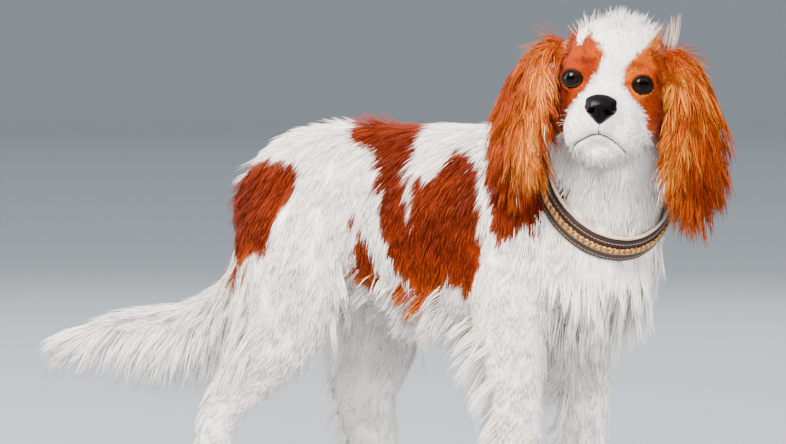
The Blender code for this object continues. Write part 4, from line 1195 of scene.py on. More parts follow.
@dataclass
class Skin:
    """The whole animal's skin, as one closed piece, with the lie of its hair."""

    body: Anatomy
    markings: Markings
    collar: CollarLine
    finish: Any
    voxel: float = 0.0024
    rounds: int = 5
    eye_at: tuple = (0.0036, 0.0278, 0.0034)
    eye_radius: float = 0.0115
    almond: tuple = (0.0087, 0.0069, 0.0010)
    lid_upper: float = 0.0031
    lid_lower: float = 0.0024
    eye_look: tuple = (0.950, 0.30, 0.04)
    skull_forms: tuple = (
        ((-0.040, 0.0, 0.013), (0.052, 0.048, 0.043)), ((-0.012, 0.0, 0.017), (0.030, 0.038, 0.033)),
        ((-0.014, 0.0, -0.014), (0.039, 0.039, 0.033)), ((0.017, 0.0, -0.031), (0.032, 0.025, 0.021)),
        ((0.014, 0.0, -0.016), (0.034, 0.014, 0.0125)), ((0.012, 0.0, -0.057), (0.025, 0.020, 0.012)),
        ((-0.020, 0.0, -0.045), (0.044, 0.032, 0.022)),
    )
    paired_forms: tuple = (
        ((0.018, 0.0160, -0.038), (0.025, 0.0162, 0.022)), ((-0.028, 0.034, -0.020), (0.033, 0.018, 0.030)),
        ((-0.006, 0.026, 0.015), (0.014, 0.016, 0.009)),
    )
    mouth_line: tuple = (
        (0.0, -0.0398), (12.0, -0.0418), (26.0, -0.0470), (42.0, -0.0530), (60.0, -0.0560), (78.0, -0.0555),
    )
    mouth_axis_x: float = 0.006
    mouth_end_deg: float = 72.0
    press_depth: float = 0.0026
    press_width: float = 0.0022
    groove_depth: float = 0.0016
    groove_width: float = 0.0016
    lip_width: float = 0.0016
    lip_dark: float = 0.55
    limbs: dict = field(init=False)
    piece: Any = field(init=False)

    def __post_init__(self) -> None:
        """Lists the long forms."""
        self.limbs = self.body.limbs()

    def eye_places(self) -> list[tuple[Side, Vector, Vector]]:
        """Where the eyes are.

        Returns:
            Each eye's side, middle and look, in the head's axes.
        """
        out = []
        for side in Side:
            at = Vector((self.eye_at[0], side.value * self.eye_at[1], self.eye_at[2]))
            look = Vector((self.eye_look[0], side.value * self.eye_look[1], self.eye_look[2])).normalized()
            out.append((side, at, look))
        return out

    def eye_matrix(self, at: Vector, look: Vector) -> Matrix:
        """From an eye's axes, +Z along its look and +Y up, to the head's."""
        return Matrix.Translation(at) @ look.to_track_quat("Z", "Y").to_matrix().to_4x4()

    def round_eyes(self, place: Array) -> list[tuple[Array, Array, Matrix]]:
        """Where places of the head lie by each eye.

        Args:
            place: Places in the head's axes, one a row.

        Returns:
            For each eye, the places in its axes, how many almonds out they are, and its matrix.
        """
        done = []
        wide, high, drop = self.almond
        for _, at, look in self.eye_places():
            matrix = self.eye_matrix(at, look)
            local = moved(place, matrix.inverted())
            ratio = np.hypot(local[:, 0] / wide, (local[:, 1] + 0.5 * drop) / high)
            done.append((local, ratio, matrix))
        return done

    def forms(self) -> list[Any]:
        """Every plain form of the body, overlapping, thinner than the solids by the coat's depth.

        Returns:
            The objects.
        """
        pieces = []
        for name, limb in self.limbs.items():
            kind = name.split("_")[0]
            rows = limb.rows.copy()
            depth = self.body.coat_depth[kind]
            rows[:, 3:] = np.maximum(rows[:, 3:] - depth, rows[:, 3:] * 0.55)
            face = (0.0, 0.0, 1.0)
            if kind == "ear":
                face = self.body.ear_out(Side.LEFT if name.endswith("left") else Side.RIGHT)
            elif kind in ("foreleg", "hindleg", "neck"):
                face = (1.0, 0.0, 0.001)
            elif kind == "tail":
                face = (-0.5, 0.0, 0.86)
            pieces.append(tube(name, rows, face))
            if kind in ("foreleg", "hindleg"):
                pieces += self.paw_forms(limb.rows[-1])
        head = self.body.head_matrix()
        for centre, sizes in self.skull_forms:
            pieces.append(ellipsoid("form", centre, sizes, head))
        for (x, y, z), sizes in self.paired_forms:
            for side in Side:
                pieces.append(ellipsoid("form", (x, side.value * y, z), sizes, head))
        wide, high, drop = self.almond
        outer = (wide + self.lid_lower, high + self.lid_lower, drop)
        for _, at, look in self.eye_places():
            whole = head @ self.eye_matrix(at, look)
            pieces.append(lid_ring(whole, self.eye_radius, outer, self.lid_upper, self.lid_lower))
        return pieces

    def paw_forms(self, ankle: Array) -> list[Any]:
        """The pad of a paw and its four toes.

        Args:
            ankle: The last station of the leg above.

        Returns:
            The objects.
        """
        long, wide, high = (size - 0.0015 for size in self.body.paw)
        x, y = ankle[0] + self.body.paw_forward, ankle[1]
        plain = Matrix.Identity(4)
        forms = [ellipsoid("paw", (x - 0.004, y, 0.012), (long * 0.8, wide, high * 0.85), plain)]
        for k in TOES:
            reach = long - self.body.toe_radius - self.body.toe_slant * abs(k)
            middle = (x + reach, y + k * self.body.toe_gap, 0.0095)
            forms.append(ellipsoid("toe", middle, (0.0125, 0.0066, 0.0098), plain))
        return forms

    def build(self) -> Any:
        """Fuses the forms, shapes the face, and works out the markings and the lie of the hair.

        Returns:
            The skin's object.
        """
        whole = joined("skin", self.forms())
        remesh = whole.modifiers.new("fused", "REMESH")
        remesh.mode = "VOXEL"
        remesh.voxel_size = self.voxel
        soft = whole.modifiers.new("soft", "SMOOTH")
        soft.factor = 0.5
        soft.iterations = self.rounds
        self.piece = applied(whole)
        self.shape_face()
        smoothed(self.piece.data)
        self.read()
        self.unwrap()
        self.paint()
        LOG.info("skin of %d triangles", len(self.triangles))
        return placed(self.piece, self.finish, "fur_white", *FLESH_NODES)

    def points(self) -> Array:
        """The skin's vertices, one a row."""
        mesh = self.piece.data
        flat = np.zeros(len(mesh.vertices) * 3)
        mesh.vertices.foreach_get("co", flat)
        return flat.reshape(-1, 3)

    def mouth_rows(self) -> Array:
        """Places on the line of the mouth.

        Returns:
            Rows of a turn from the front in degrees, and a height.
        """
        half = smooth_rows(self.mouth_line, 6)
        mirror = half[::-1][:-1] * np.array((-1.0, 1.0))
        return np.vstack((mirror, half))

    def by_mouth(self, place: Array) -> tuple[Array, Array]:
        """Where places of the head lie by the line of the mouth.

        Args:
            place: Places in the head's axes, one a row.

        Returns:
            Each one's turn from the front in degrees, and its height over the line.
        """
        rows = self.mouth_rows()
        turn = np.degrees(np.arctan2(place[:, 1], place[:, 0] - self.mouth_axis_x))
        return turn, place[:, 2] - np.interp(turn, rows[:, 0], rows[:, 1])

    def shape_face(self) -> None:
        """Presses in the mouth and philtrum, keeps the eyes clear and the paws above the floor."""
        points = self.points()
        place = self.body.to_head(points)
        x, y, z = place.T
        turn, above = self.by_mouth(place)
        near = np.exp(-(above / self.press_width) ** 2) * (np.abs(turn) < 80) * (x > -0.02)
        reach = np.hypot(y, x - self.mouth_axis_x)
        near = near * (reach > 0.012)
        inward = np.stack((-(x - self.mouth_axis_x), -y, np.zeros_like(x)), axis=1)
        place += unit(inward) * (self.press_depth * near)[:, None]
        groove = np.exp(-(y / self.groove_width) ** 2) * (x > 0.03) * smoothstep(-0.042, -0.038, z)
        groove = groove * smoothstep(-0.022, -0.027, z)
        place[:, 0] -= self.groove_depth * groove
        for _, at, _ in self.eye_places():
            off = place - np.array(at)
            distance = np.linalg.norm(off, axis=1)
            inside = distance < self.eye_radius + 0.0006
            place[inside] -= (off / np.maximum(distance, 1e-9)[:, None])[inside] * 0.0015
        points = self.collar.seated(self.body.from_head(place), self.collar.skin_under,
                                    self.collar.skin_slope, self.collar.reach)
        points[:, 2] = np.maximum(points[:, 2], FLOOR_CLEAR)
        self.piece.data.vertices.foreach_set("co", points.ravel())
        self.piece.data.update()

    def read(self) -> None:
        """Keeps the skin's places, normals, triangles and search tree for the coat."""
        mesh = self.piece.data
        mesh.calc_loop_triangles()
        self.vertices = self.points()
        flat = np.zeros(len(mesh.vertices) * 3)
        mesh.vertex_normals.foreach_get("vector", flat)
        self.normals = flat.reshape(-1, 3)
        count = len(mesh.loop_triangles)
        corners = np.zeros(count * 3, np.int32)
        mesh.loop_triangles.foreach_get("vertices", corners)
        self.triangles = corners.reshape(-1, 3)
        loops = np.zeros(count * 3, np.int32)
        mesh.loop_triangles.foreach_get("loops", loops)
        self.triangle_loops = loops.reshape(-1, 3)
        a, b, c = (self.vertices[self.triangles[:, k]] for k in range(3))
        self.middles = (a + b + c) / 3
        self.areas = 0.5 * np.linalg.norm(np.cross(b - a, c - a), axis=1)
        self.tree = BVHTree.FromPolygons(self.vertices.tolist(), self.triangles.tolist())
        self.regions = self.shares(self.vertices)
        self.lie = self.comb(self.vertices, self.normals, self.regions)
        _, _, out, off = self.collar.beside(self.middles)
        self.uncovered = ~((off < 0.0005) & (out > -0.012) & (out < 0.006))
        self.triangle_lie = unit(self.lie[self.triangles].mean(axis=1))
        self.triangle_normal = unit(self.normals[self.triangles].mean(axis=1))

    def shares(self, points: Array) -> dict[str, Array]:
        """How much points belong to each part of the body.

        Args:
            points: Frame places, one a row.

        Returns:
            A share from 0 to 1 for each part's name.
        """
        ratios = {name: limb.nearness(points)[0] for name, limb in self.limbs.items()}
        off = self.body.to_head(points) - np.array(self.body.skull_at)
        ratios["head"] = np.linalg.norm(off / np.array(self.body.skull_size), axis=1)
        ratios["trunk"] = np.minimum(ratios["trunk"], ratios.pop("nape"))
        names = list(ratios)
        stack = np.stack([ratios[name] for name in names])
        weight = np.exp(-9.0 * (stack - stack.min(axis=0)))
        weight /= weight.sum(axis=0)
        return dict(zip(names, weight))

    def comb(self, points: Array, normals: Array, shares: dict[str, Array]) -> Array:
        """The lie of the hair at points of the skin.

        Args:
            points: Frame places, one a row.
            normals: The skin's normal at each.
            shares: What each belongs to, from shares().

        Returns:
            A direction along the skin at each.
        """
        ways = {}
        chest = smoothstep(0.25, 0.8, normals[:, 0])[:, None]
        belly = smoothstep(-0.4, -0.9, normals[:, 2])[:, None]
        trunk = np.tile((-0.50, 0.0, -0.82), (len(points), 1))
        trunk = trunk * (1 - chest) + np.array((-0.15, 0.0, -1.0)) * chest
        trunk = trunk * (1 - belly) + np.array((-0.9, 0.0, -0.3)) * belly
        steep = smoothstep(0.34, 0.24, points[:, 2])[:, None]
        trunk = trunk + np.array((0.26, 0.0, -0.20)) * steep * (1 - belly)
        ways["trunk"] = trunk + 0.12 * np.stack(
            (grain(points, 0.06, 21), grain(points, 0.06, 22), grain(points, 0.06, 23)), axis=1)
        place = self.body.to_head(points)
        from_nose = unit(place - np.array((0.052, 0.0, -0.020)))
        from_nose[:, 2] += 0.25 * smoothstep(-0.01, 0.03, place[:, 2])
        low = smoothstep(-0.035, -0.055, place[:, 2])[:, None]
        from_nose = from_nose * (1 - low) + np.array((-0.5, 0.0, -0.8)) * low
        ways["head"] = self.body.head_way(from_nose)
        for name, limb in self.limbs.items():
            if name in ("trunk", "nape"):
                continue
            _, way, _ = limb.nearness(points)
            if name == "neck":
                way = -way + np.array((0.0, 0.0, -0.3))
            elif name.startswith(("fore", "hind")):
                way = way + np.array((-0.25, 0.0, -0.1))
                toes = smoothstep(0.034, 0.020, points[:, 2])[:, None]
                way = way * (1 - toes) + np.array((0.9, 0.0, -0.45)) * toes
            ways[name] = way
        lie = sum(shares[name][:, None] * unit(ways[name]) for name in shares)
        lie = lie - normals * np.sum(lie * normals, axis=1, keepdims=True)
        return unit(lie)

    def unwrap(self) -> None:
        """Unwraps the skin's own shape, for the map that the coat's tufts share."""
        bpy.ops.object.select_all(action="DESELECT")
        self.piece.select_set(True)
        bpy.context.view_layer.objects.active = self.piece
        self.piece.data.uv_layers.new(name=BAKE_MAP)
        bpy.ops.object.mode_set(mode="EDIT")
        bpy.ops.mesh.select_all(action="SELECT")
        bpy.ops.uv.smart_project(angle_limit=math.radians(66), island_margin=0.002)
        bpy.ops.object.mode_set(mode="OBJECT")
        layer = self.piece.data.uv_layers[BAKE_MAP]
        flat = np.zeros(len(self.piece.data.loops) * 2)
        layer.data.foreach_get("uv", flat)
        uv = flat.reshape(-1, 2)
        self.triangle_uv = uv[self.triangle_loops].mean(axis=1)

    def marked(self, points: Array) -> tuple[Array, Array]:
        """The marking and tone at frame places on or near the skin."""
        shares = self.shares(points)
        ear = shares["ear_right"] + shares["ear_left"]
        return self.markings.at(points, shares["head"], np.clip(ear * 1.2, 0, 1), shares["neck"],
                                shares["tail"])

    def paint(self) -> None:
        """Writes the markings, the dark lip and lid skin, and the comb's own axes on the skin."""
        mark, tone = self.marked(self.vertices)
        dark = np.zeros(len(mark))
        place = self.body.to_head(self.vertices)
        turn, above = self.by_mouth(place)
        line = np.exp(-(above / self.lip_width) ** 2) * (np.abs(turn) < self.mouth_end_deg)
        dark = np.maximum(dark, self.lip_dark * (line * (place[:, 0] > 0.0)))
        for local, ratio, _ in self.round_eyes(place):
            ahead = (local[:, 2] > 0) & (local[:, 2] < 0.02)
            dark = np.maximum(dark, smoothstep(1.22, 1.06, ratio) * ahead)
            under = smoothstep(1.05, 1.20, ratio) * smoothstep(1.50, 1.25, ratio)
            tone = np.clip(tone + 0.3 * (under * ahead * (local[:, 1] < -0.003)), 0.0, 1.0)
        colours = np.stack((mark, tone, dark, np.full(len(mark), 0.35)), axis=1).astype(np.float32)
        layer = self.piece.data.attributes.new(HAIR, "FLOAT_COLOR", "POINT")
        layer.data.foreach_set("color", colours.ravel())
        across = np.cross(self.normals, self.lie)
        fur = ShortFur()
        comb = np.stack((np.sum(self.vertices * across, axis=1) / fur.hair_width,
                         np.sum(self.vertices * self.lie, axis=1) / fur.hair_length,
                         np.sum(self.vertices * self.normals, axis=1) / fur.hair_length), axis=1)
        layer = self.piece.data.attributes.new("Comb", "FLOAT_VECTOR", "POINT")
        layer.data.foreach_set("vector", comb.astype(np.float32).ravel())

    def under(self, points: Array) -> tuple[Array, Array, Array]:
        """What lies under points.

        Args:
            points: Frame places, one a row.

        Returns:
            The nearest place on the skin, its normal and the lie of the hair there.
        """
        found = [self.tree.find_nearest(point) for point in points.tolist()]
        near = np.array([hit[0] for hit in found])
        index = np.array([hit[2] for hit in found])
        return near, self.triangle_normal[index], self.triangle_lie[index]

    def bake_places(self, points: Array) -> Array:
        """The places on the unwrap that lie under points."""
        index = [self.tree.find_nearest(point)[2] for point in points.tolist()]
        return self.triangle_uv[index]


# The coat


@dataclass(frozen=True)
class TuftStyle:
    """One kind of tuft: sizes in metres, and how it stands, hangs and gathers."""

    length: float
    width: float
    rings: int
    strands: int
    spread: float
    depth: float
    lift: float = 0.25
    droop: float = 0.0
    hug: float = 1.0
    gather: float = 0.6
    frizz: float = 0.0008
    wave: float = 0.0
    spare: float = 0.25
    tucked: bool = True
    reading: int = 0
    stray: float = 0.06


@dataclass
class Coat:
    """Grows tufts on the skin and makes them into pieces."""

    skin: Skin
    finish: Any
    triangles: int = 0
    clear: float = 0.0012

    def roots(self, count: int, weight: Array, seed: int) -> tuple[Array, Array, Array]:
        """Random places on the skin.

        Args:
            count: How many.
            weight: How thickly they stand, for each triangle of the skin.
            seed: Makes the choice repeat.

        Returns:
            The places, the normals and the lie of the hair there.
        """
        rng = np.random.default_rng(seed)
        chance = self.skin.areas * np.maximum(weight, 0.0) * self.skin.uncovered
        total = chance.cumsum()
        if total[-1] <= 0:
            raise ValueError("no skin for these roots")
        index = np.searchsorted(total, rng.random(count) * total[-1])
        index = np.minimum(index, len(chance) - 1)
        share = rng.random((count, 2))
        flip = share.sum(axis=1) > 1
        share[flip] = 1 - share[flip]
        corners = self.skin.vertices[self.skin.triangles[index]]
        a, b, c = corners[:, 0], corners[:, 1], corners[:, 2]
        places = a + (b - a) * share[:, :1] + (c - a) * share[:, 1:]
        return places, self.skin.triangle_normal[index], self.skin.triangle_lie[index]

    def guides(self, places: Array, normals: Array, lie: Array, style: TuftStyle, scale: Array,
               seed: int, blocks: Callable[[Array], Array] | None) -> Array:
        """The middle line of each lock.

        Args:
            places: The roots.
            normals: The skin's normals there.
            lie: The way each lock sets off.
            style: The kind of tuft.
            scale: Each lock's share of the full length.
            seed: Makes the chance repeat.
            blocks: Moves places out of what the hair must not enter, or None.

        Returns:
            Places of shape (locks, rings + 1, 3).
        """
        rng = np.random.default_rng(seed)
        count = len(places)
        length = style.length * scale * rng.uniform(1 - style.spare, 1 + style.spare * 0.5, count)
        step = (length / style.rings)[:, None]
        layer = rng.uniform(0.50, 1.0, count) * style.depth
        wander = rng.normal(0.0, 1.0, (count, 3))
        phase = rng.uniform(0, 2 * math.pi, count)
        way = unit(lie + normals * style.lift + wander * style.stray)
        point = places - normals * ROOT_DEPTH
        line = [point]
        for k in range(style.rings):
            share = (k + 1) / style.rings
            point = point + way * step
            if style.hug > 0 or style.droop > 0:
                near, normal, flow = self.skin.under(point)
                height = np.sum((point - near) * normal, axis=1)
                if style.hug > 0:
                    aim = layer * min(1.0, 1.6 * share)
                    point = point + normal * ((aim - height) * style.hug)[:, None]
                    way = unit(way * 0.45 + flow * 0.55 * style.hug + normal * 0.02)
                else:
                    short = np.maximum(self.clear - height, 0.0) * (height > -0.03)
                    point = point + normal * short[:, None]
            if blocks is not None:
                point = blocks(point)
            if style.tucked:
                collar = self.skin.collar
                point = collar.seated(point, collar.hair_under, collar.hair_slope, collar.hair_reach)
            side = np.cross(way, normals)
            swing = style.wave * np.sin(phase + share * 2.2 * math.pi)
            way = unit(way + DOWN * style.droop / style.rings + side * swing[:, None])
            line.append(point)
        return np.stack(line, axis=1)

    def strands(self, lines: Array, normals: Array, style: TuftStyle, seed: int) -> tuple[Array, Array]:
        """The strands round each middle line.

        Args:
            lines: Middle lines, (locks, rings + 1, 3).
            normals: The skin's normal at each root.
            style: The kind of tuft.
            seed: Makes the chance repeat.

        Returns:
            Lines of shape (locks * strands, rings + 1, 3), and their normals.
        """
        rng = np.random.default_rng(seed + 1)
        locks, rings = lines.shape[0], lines.shape[1]
        owner = np.repeat(np.arange(locks), style.strands)
        base = lines[owner]
        normal = normals[owner]
        flow = unit(base[:, 1] - base[:, 0])
        flow = unit(flow - normal * np.sum(flow * normal, axis=1, keepdims=True))
        across = np.cross(normal, flow)
        turn = rng.uniform(0, 2 * math.pi, len(owner))
        reach = style.spread * np.sqrt(rng.random(len(owner)))
        offset = across * (reach * np.cos(turn))[:, None] + flow * (reach * np.sin(turn) * 1.3)[:, None]
        share = np.linspace(0.0, 1.0, rings)[None, :, None]
        keep = 1.0 - style.gather * share**1.3
        noise = rng.normal(0.0, 1.0, (len(owner), 1, 3)) * style.frizz * share**1.5 * 2.0
        shorter = rng.uniform(0.72, 1.0, len(owner))[:, None, None]
        start = base[:, :1]
        lines = start + (base - start) * shorter + offset[:, None] * keep + noise
        return lines, normal

    def piece(self, name: str, lines: Array, normals: Array, style: TuftStyle, seed: int,
              marks: tuple[float, float] | None = None) -> Any:
        """Makes strands into one piece of solid mesh.

        Args:
            name: The piece's name.
            lines: Places along each strand, (strands, rings + 1, 3).
            normals: The skin's normal at each root.
            style: The kind of tuft.
            seed: Makes the chance repeat.
            marks: One marking and tone for every strand, or None to read them from the skin.

        Returns:
            The object.
        """
        rng = np.random.default_rng(seed + 2)
        lines = lines.copy()
        lines[:, :, 2] = np.maximum(lines[:, :, 2], FLOOR_CLEAR)
        count, stations = lines.shape[0], lines.shape[1]
        rings = stations - 1
        ways = unit(np.gradient(lines, axis=1))
        out = normals[:, None] - ways * np.sum(ways * normals[:, None], axis=2, keepdims=True)
        out = unit(out + 1e-6)
        across = np.cross(ways, out)
        share = np.linspace(0.0, 1.0, stations)
        shape = np.clip(0.55 + 1.5 * share - 2.05 * share**2, 0.0, None)[None, :, None]
        width = (style.width * 0.5 * rng.uniform(0.7, 1.25, count))[:, None, None] * shape
        left, right = lines - across * width, lines + across * width
        ridge = lines + out * width * 0.55
        body = np.stack((left, ridge, right), axis=2)[:, :rings].reshape(count, rings * 3, 3)
        points = np.concatenate((body, lines[:, rings:]), axis=1).reshape(-1, 3)
        per = rings * 3 + 1
        faces = [(0, 1, 2)]
        for k in range(rings - 1):
            for n in range(3):
                a, b = 3 * k + n, 3 * k + (n + 1) % 3
                faces += [(a, a + 3, b + 3), (a, b + 3, b)]
        last = 3 * (rings - 1)
        faces += [(last + n, per - 1, last + (n + 1) % 3) for n in range(3)]
        pattern = np.array(faces, np.int32)
        corners = (pattern[None] + (np.arange(count, dtype=np.int32) * per)[:, None, None]).reshape(-1, 3)
        mesh = bpy.data.meshes.new(name)
        mesh.vertices.add(len(points))
        mesh.vertices.foreach_set("co", points.astype(np.float32).ravel())
        mesh.loops.add(corners.size)
        mesh.loops.foreach_set("vertex_index", corners.ravel())
        mesh.polygons.add(len(corners))
        mesh.polygons.foreach_set("loop_start", np.arange(0, corners.size, 3, dtype=np.int32))
        mesh.polygons.foreach_set("use_smooth", np.ones(len(corners), bool))
        mesh.update(calc_edges=True)
        roots = lines[:, 0]
        if marks is None:
            mark, tone = self.skin.marked(lines[:, style.reading])
            mark = (mark + rng.normal(0.0, 0.12, count) > 0.5).astype(float)
        else:
            mark, tone = np.full(count, marks[0]), np.full(count, marks[1])
        chance = rng.random(count)
        along = np.concatenate((np.repeat(share[:rings], 3), share[rings:]))
        colours = np.zeros((count, per, 4), np.float32)
        colours[:, :, 0] = mark[:, None]
        colours[:, :, 1] = tone[:, None]
        colours[:, :, 2] = chance[:, None]
        colours[:, :, 3] = along[None]
        mesh.attributes.new(HAIR, "FLOAT_COLOR", "POINT").data.foreach_set("color", colours.ravel())
        spot = self.skin.bake_places(roots)
        patch = np.zeros((per, 2))
        patch[:-1, 0] = np.tile((-0.5, 0.0, 0.5), rings) * TUFT_PATCH
        patch[:, 1] = (along - 0.5) * TUFT_PATCH
        uv = np.clip(spot[:, None] + patch[None], 0.0, 1.0).reshape(-1, 2)
        layer = mesh.uv_layers.new(name=BAKE_MAP)
        layer.data.foreach_set("uv", uv[corners.ravel()].astype(np.float32).ravel())
        self.triangles += len(corners)
        return linked(name, mesh)

    def grow(self, name: str, style: TuftStyle, locks: int, weight: Array, seed: int,
             scale: Callable[[Array], Array] | None = None,
             aim: Callable[[Array, Array, Array], Array] | None = None,
             blocks: Callable[[Array], Array] | None = None,
             marks: tuple[float, float] | None = None) -> Any:
        """Grows one piece of coat from chosen skin.

        Args:
            name: The piece's name.
            style: The kind of tuft.
            locks: How many locks.
            weight: How thickly they stand, for each triangle of the skin.
            seed: Makes the chance repeat.
            scale: Gives each root its share of the full length, or None for 1.
            aim: Gives the way each lock sets off from place, normal and lie, or None for the lie.
            blocks: Moves places out of what the hair must not enter, or None.
            marks: One marking and tone for every strand, or None to read them from the skin.

        Returns:
            The object.
        """
        places, normals, lie = self.roots(locks, weight, seed)
        lengths = np.ones(locks) if scale is None else scale(places)
        if aim is not None:
            lie = unit(aim(places, normals, lie))
        lines = self.guides(places, normals, lie, style, lengths, seed, blocks)
        return self.piece(name, *self.strands(lines, normals, style, seed), style, seed, marks)

    def finish_piece(self, name: str, parts: Sequence[Any], slot: str = "fur_white") -> Any:
        """Joins layers of coat into one dressed piece.

        Args:
            name: The piece's name.
            parts: Its layers.
            slot: The record's slot for its finish.

        Returns:
            The object.
        """
        whole = joined(name, list(parts)) if len(parts) > 1 else parts[0]
        whole.name = name
        return placed(whole, self.finish, slot)


def leaning(ahead: float, across: Array, up: float) -> Array:
    """Directions with one share ahead and up for all, and each one's own share across."""
    return np.stack((np.full(len(across), ahead), across, np.full(len(across), up)), axis=1)


@dataclass
class SpanielCoat:
    """The coat of the whole animal, piece by piece."""

    skin: Skin
    coat: Coat
    body_fur: TuftStyle = TuftStyle(0.024, 0.0010, 2, 6, 0.0060, 0.0036, lift=0.05, gather=0.15,
                                    frizz=0.0003, reading=1)
    body_waves: TuftStyle = TuftStyle(0.034, 0.0009, 4, 8, 0.0050, 0.0055, lift=0.12, wave=0.12,
                                      gather=0.5, reading=2)
    ridge_tufts: TuftStyle = TuftStyle(0.032, 0.0009, 4, 9, 0.0040, 0.010, lift=0.60, hug=0.0, droop=0.5,
                                       gather=0.7, reading=2)
    neck_fur: TuftStyle = TuftStyle(0.024, 0.0010, 3, 9, 0.0050, 0.0050, lift=0.10, gather=0.35, reading=1)
    leg_fur: TuftStyle = TuftStyle(0.014, 0.0010, 2, 5, 0.0045, 0.0020, lift=0.05, gather=0.15, frizz=0.0002)
    thigh_fur: TuftStyle = TuftStyle(0.023, 0.0011, 2, 6, 0.0055, 0.0032, lift=0.05, gather=0.20, reading=1)
    paw_fur: TuftStyle = TuftStyle(0.0075, 0.0008, 2, 7, 0.0022, 0.0014, lift=0.10, gather=0.35,
                                   frizz=0.0002)
    toe_fur: TuftStyle = TuftStyle(0.012, 0.0009, 3, 7, 0.0022, 0.0030, lift=0.30, gather=0.6, hug=0.0,
                                   droop=0.4)
    face_fur: TuftStyle = TuftStyle(0.0056, 0.00055, 2, 6, 0.0015, 0.0008, lift=0.05, gather=0.35,
                                    frizz=0.0001)
    crown_fur: TuftStyle = TuftStyle(0.014, 0.00050, 2, 8, 0.0030, 0.0026, lift=0.10, gather=0.20,
                                     frizz=0.0004)
    temple: TuftStyle = TuftStyle(0.026, 0.0008, 4, 9, 0.0035, 0.0050, lift=0.20, hug=0.5, wave=0.15,
                                  gather=0.6)
    beard: TuftStyle = TuftStyle(0.011, 0.0006, 3, 6, 0.0018, 0.003, lift=0.35, hug=0.0, droop=0.8,
                                 frizz=0.0004)
    crown_wisps: TuftStyle = TuftStyle(0.027, 0.00032, 4, 12, 0.0060, 0.006, lift=0.55, hug=0.0, droop=0.3,
                                       wave=0.2, gather=0.0, frizz=0.0012)
    ear_hair: TuftStyle = TuftStyle(0.056, 0.0011, 5, 13, 0.0055, 0.010, lift=0.16, hug=0.0, droop=0.8,
                                    gather=0.72, wave=0.26, frizz=0.0008, tucked=False, stray=0.08)
    ear_tuft: TuftStyle = TuftStyle(0.033, 0.00030, 5, 8, 0.0035, 0.004, lift=0.5, hug=0.0, droop=0.45,
                                    wave=0.3, gather=0.8, frizz=0.0006)
    ear_down: TuftStyle = TuftStyle(0.018, 0.0009, 2, 8, 0.0035, 0.0040, lift=0.2, tucked=False)
    frill: TuftStyle = TuftStyle(0.062, 0.0011, 5, 14, 0.0060, 0.010, lift=0.22, hug=0.0, droop=0.9,
                                 gather=0.68, wave=0.12, frizz=0.0007, stray=0.13)
    belly: TuftStyle = TuftStyle(0.050, 0.0011, 5, 12, 0.0060, 0.010, lift=0.08, hug=0.0, droop=0.6,
                                 gather=0.70, wave=0.16, frizz=0.0008, stray=0.13)
    feather: TuftStyle = TuftStyle(0.050, 0.0011, 5, 12, 0.0050, 0.010, lift=0.12, hug=0.0, droop=0.7,
                                   gather=0.70, wave=0.16, frizz=0.0007, stray=0.13)
    plume: TuftStyle = TuftStyle(0.080, 0.0012, 5, 14, 0.0060, 0.010, lift=0.06, hug=0.0, droop=0.7,
                                 gather=0.72, wave=0.18, frizz=0.0010, stray=0.08)
    plume_top: TuftStyle = TuftStyle(0.058, 0.0010, 4, 10, 0.0045, 0.007, lift=0.14, hug=0.0, droop=0.15,
                                     gather=0.65, wave=0.16)
    muzzle_hairs: TuftStyle = TuftStyle(0.018, 0.00022, 5, 1, 0.0, 0.004, lift=1.2, hug=0.0, droop=0.35,
                                        spare=0.4)
    eye_clear: float = 1.18
    nose_at: tuple = (0.0455, 0.0, -0.0185)
    nose_bare: tuple = (0.0112, 0.0142, 0.0112)
    mouth_bare: float = 0.0008

    def __post_init__(self) -> None:
        """Reads what each triangle of the skin belongs to."""
        skin = self.skin
        self.place = skin.middles - BODY_SHIFT
        self.face_place = skin.body.to_head(skin.middles)
        self.normal = skin.triangle_normal
        self.share = {name: values[skin.triangles].mean(axis=1) for name, values in skin.regions.items()}

    def clear_of_eyes(self, points: Array) -> Array:
        """Face places moved out of the eyes.

        Args:
            points: Frame places, one a row.

        Returns:
            The places.
        """
        body = self.skin.body
        place = body.to_head(points)
        for local, ratio, matrix in self.skin.round_eyes(place):
            over = (local[:, 2] > 0.002) & (local[:, 2] < 0.020) & (ratio < self.eye_clear)
            local[over, :2] *= (self.eye_clear / np.maximum(ratio, 0.05))[over, None]
            place[over] = moved(local, matrix)[over]
        return body.from_head(place)

    def face_open(self) -> Array:
        """Where the face has fur.

        Returns:
            0 on the nose, the eyes, the lids and the line of the mouth, and 1 elsewhere.
        """
        place = self.face_place
        free = np.ones(len(place))
        for local, ratio, _ in self.skin.round_eyes(place):
            free *= ~((ratio < 1.25) & (local[:, 2] > -0.002))
        nose = (place - np.array(self.nose_at)) / np.array(self.nose_bare)
        free *= np.linalg.norm(nose, axis=1) > 1.0
        turn, above = self.skin.by_mouth(place)
        mouth = (np.abs(above) < self.mouth_bare) & (np.abs(turn) < self.skin.mouth_end_deg)
        mouth = mouth & (place[:, 0] > 0.0)
        return free * ~mouth

    def make(self) -> list[Any]:
        """Grows every piece.

        Returns:
            The pieces.
        """
        return [*self.trunk(), *self.neck(), *self.head(), *self.ears(), *self.legs(), *self.tail()]

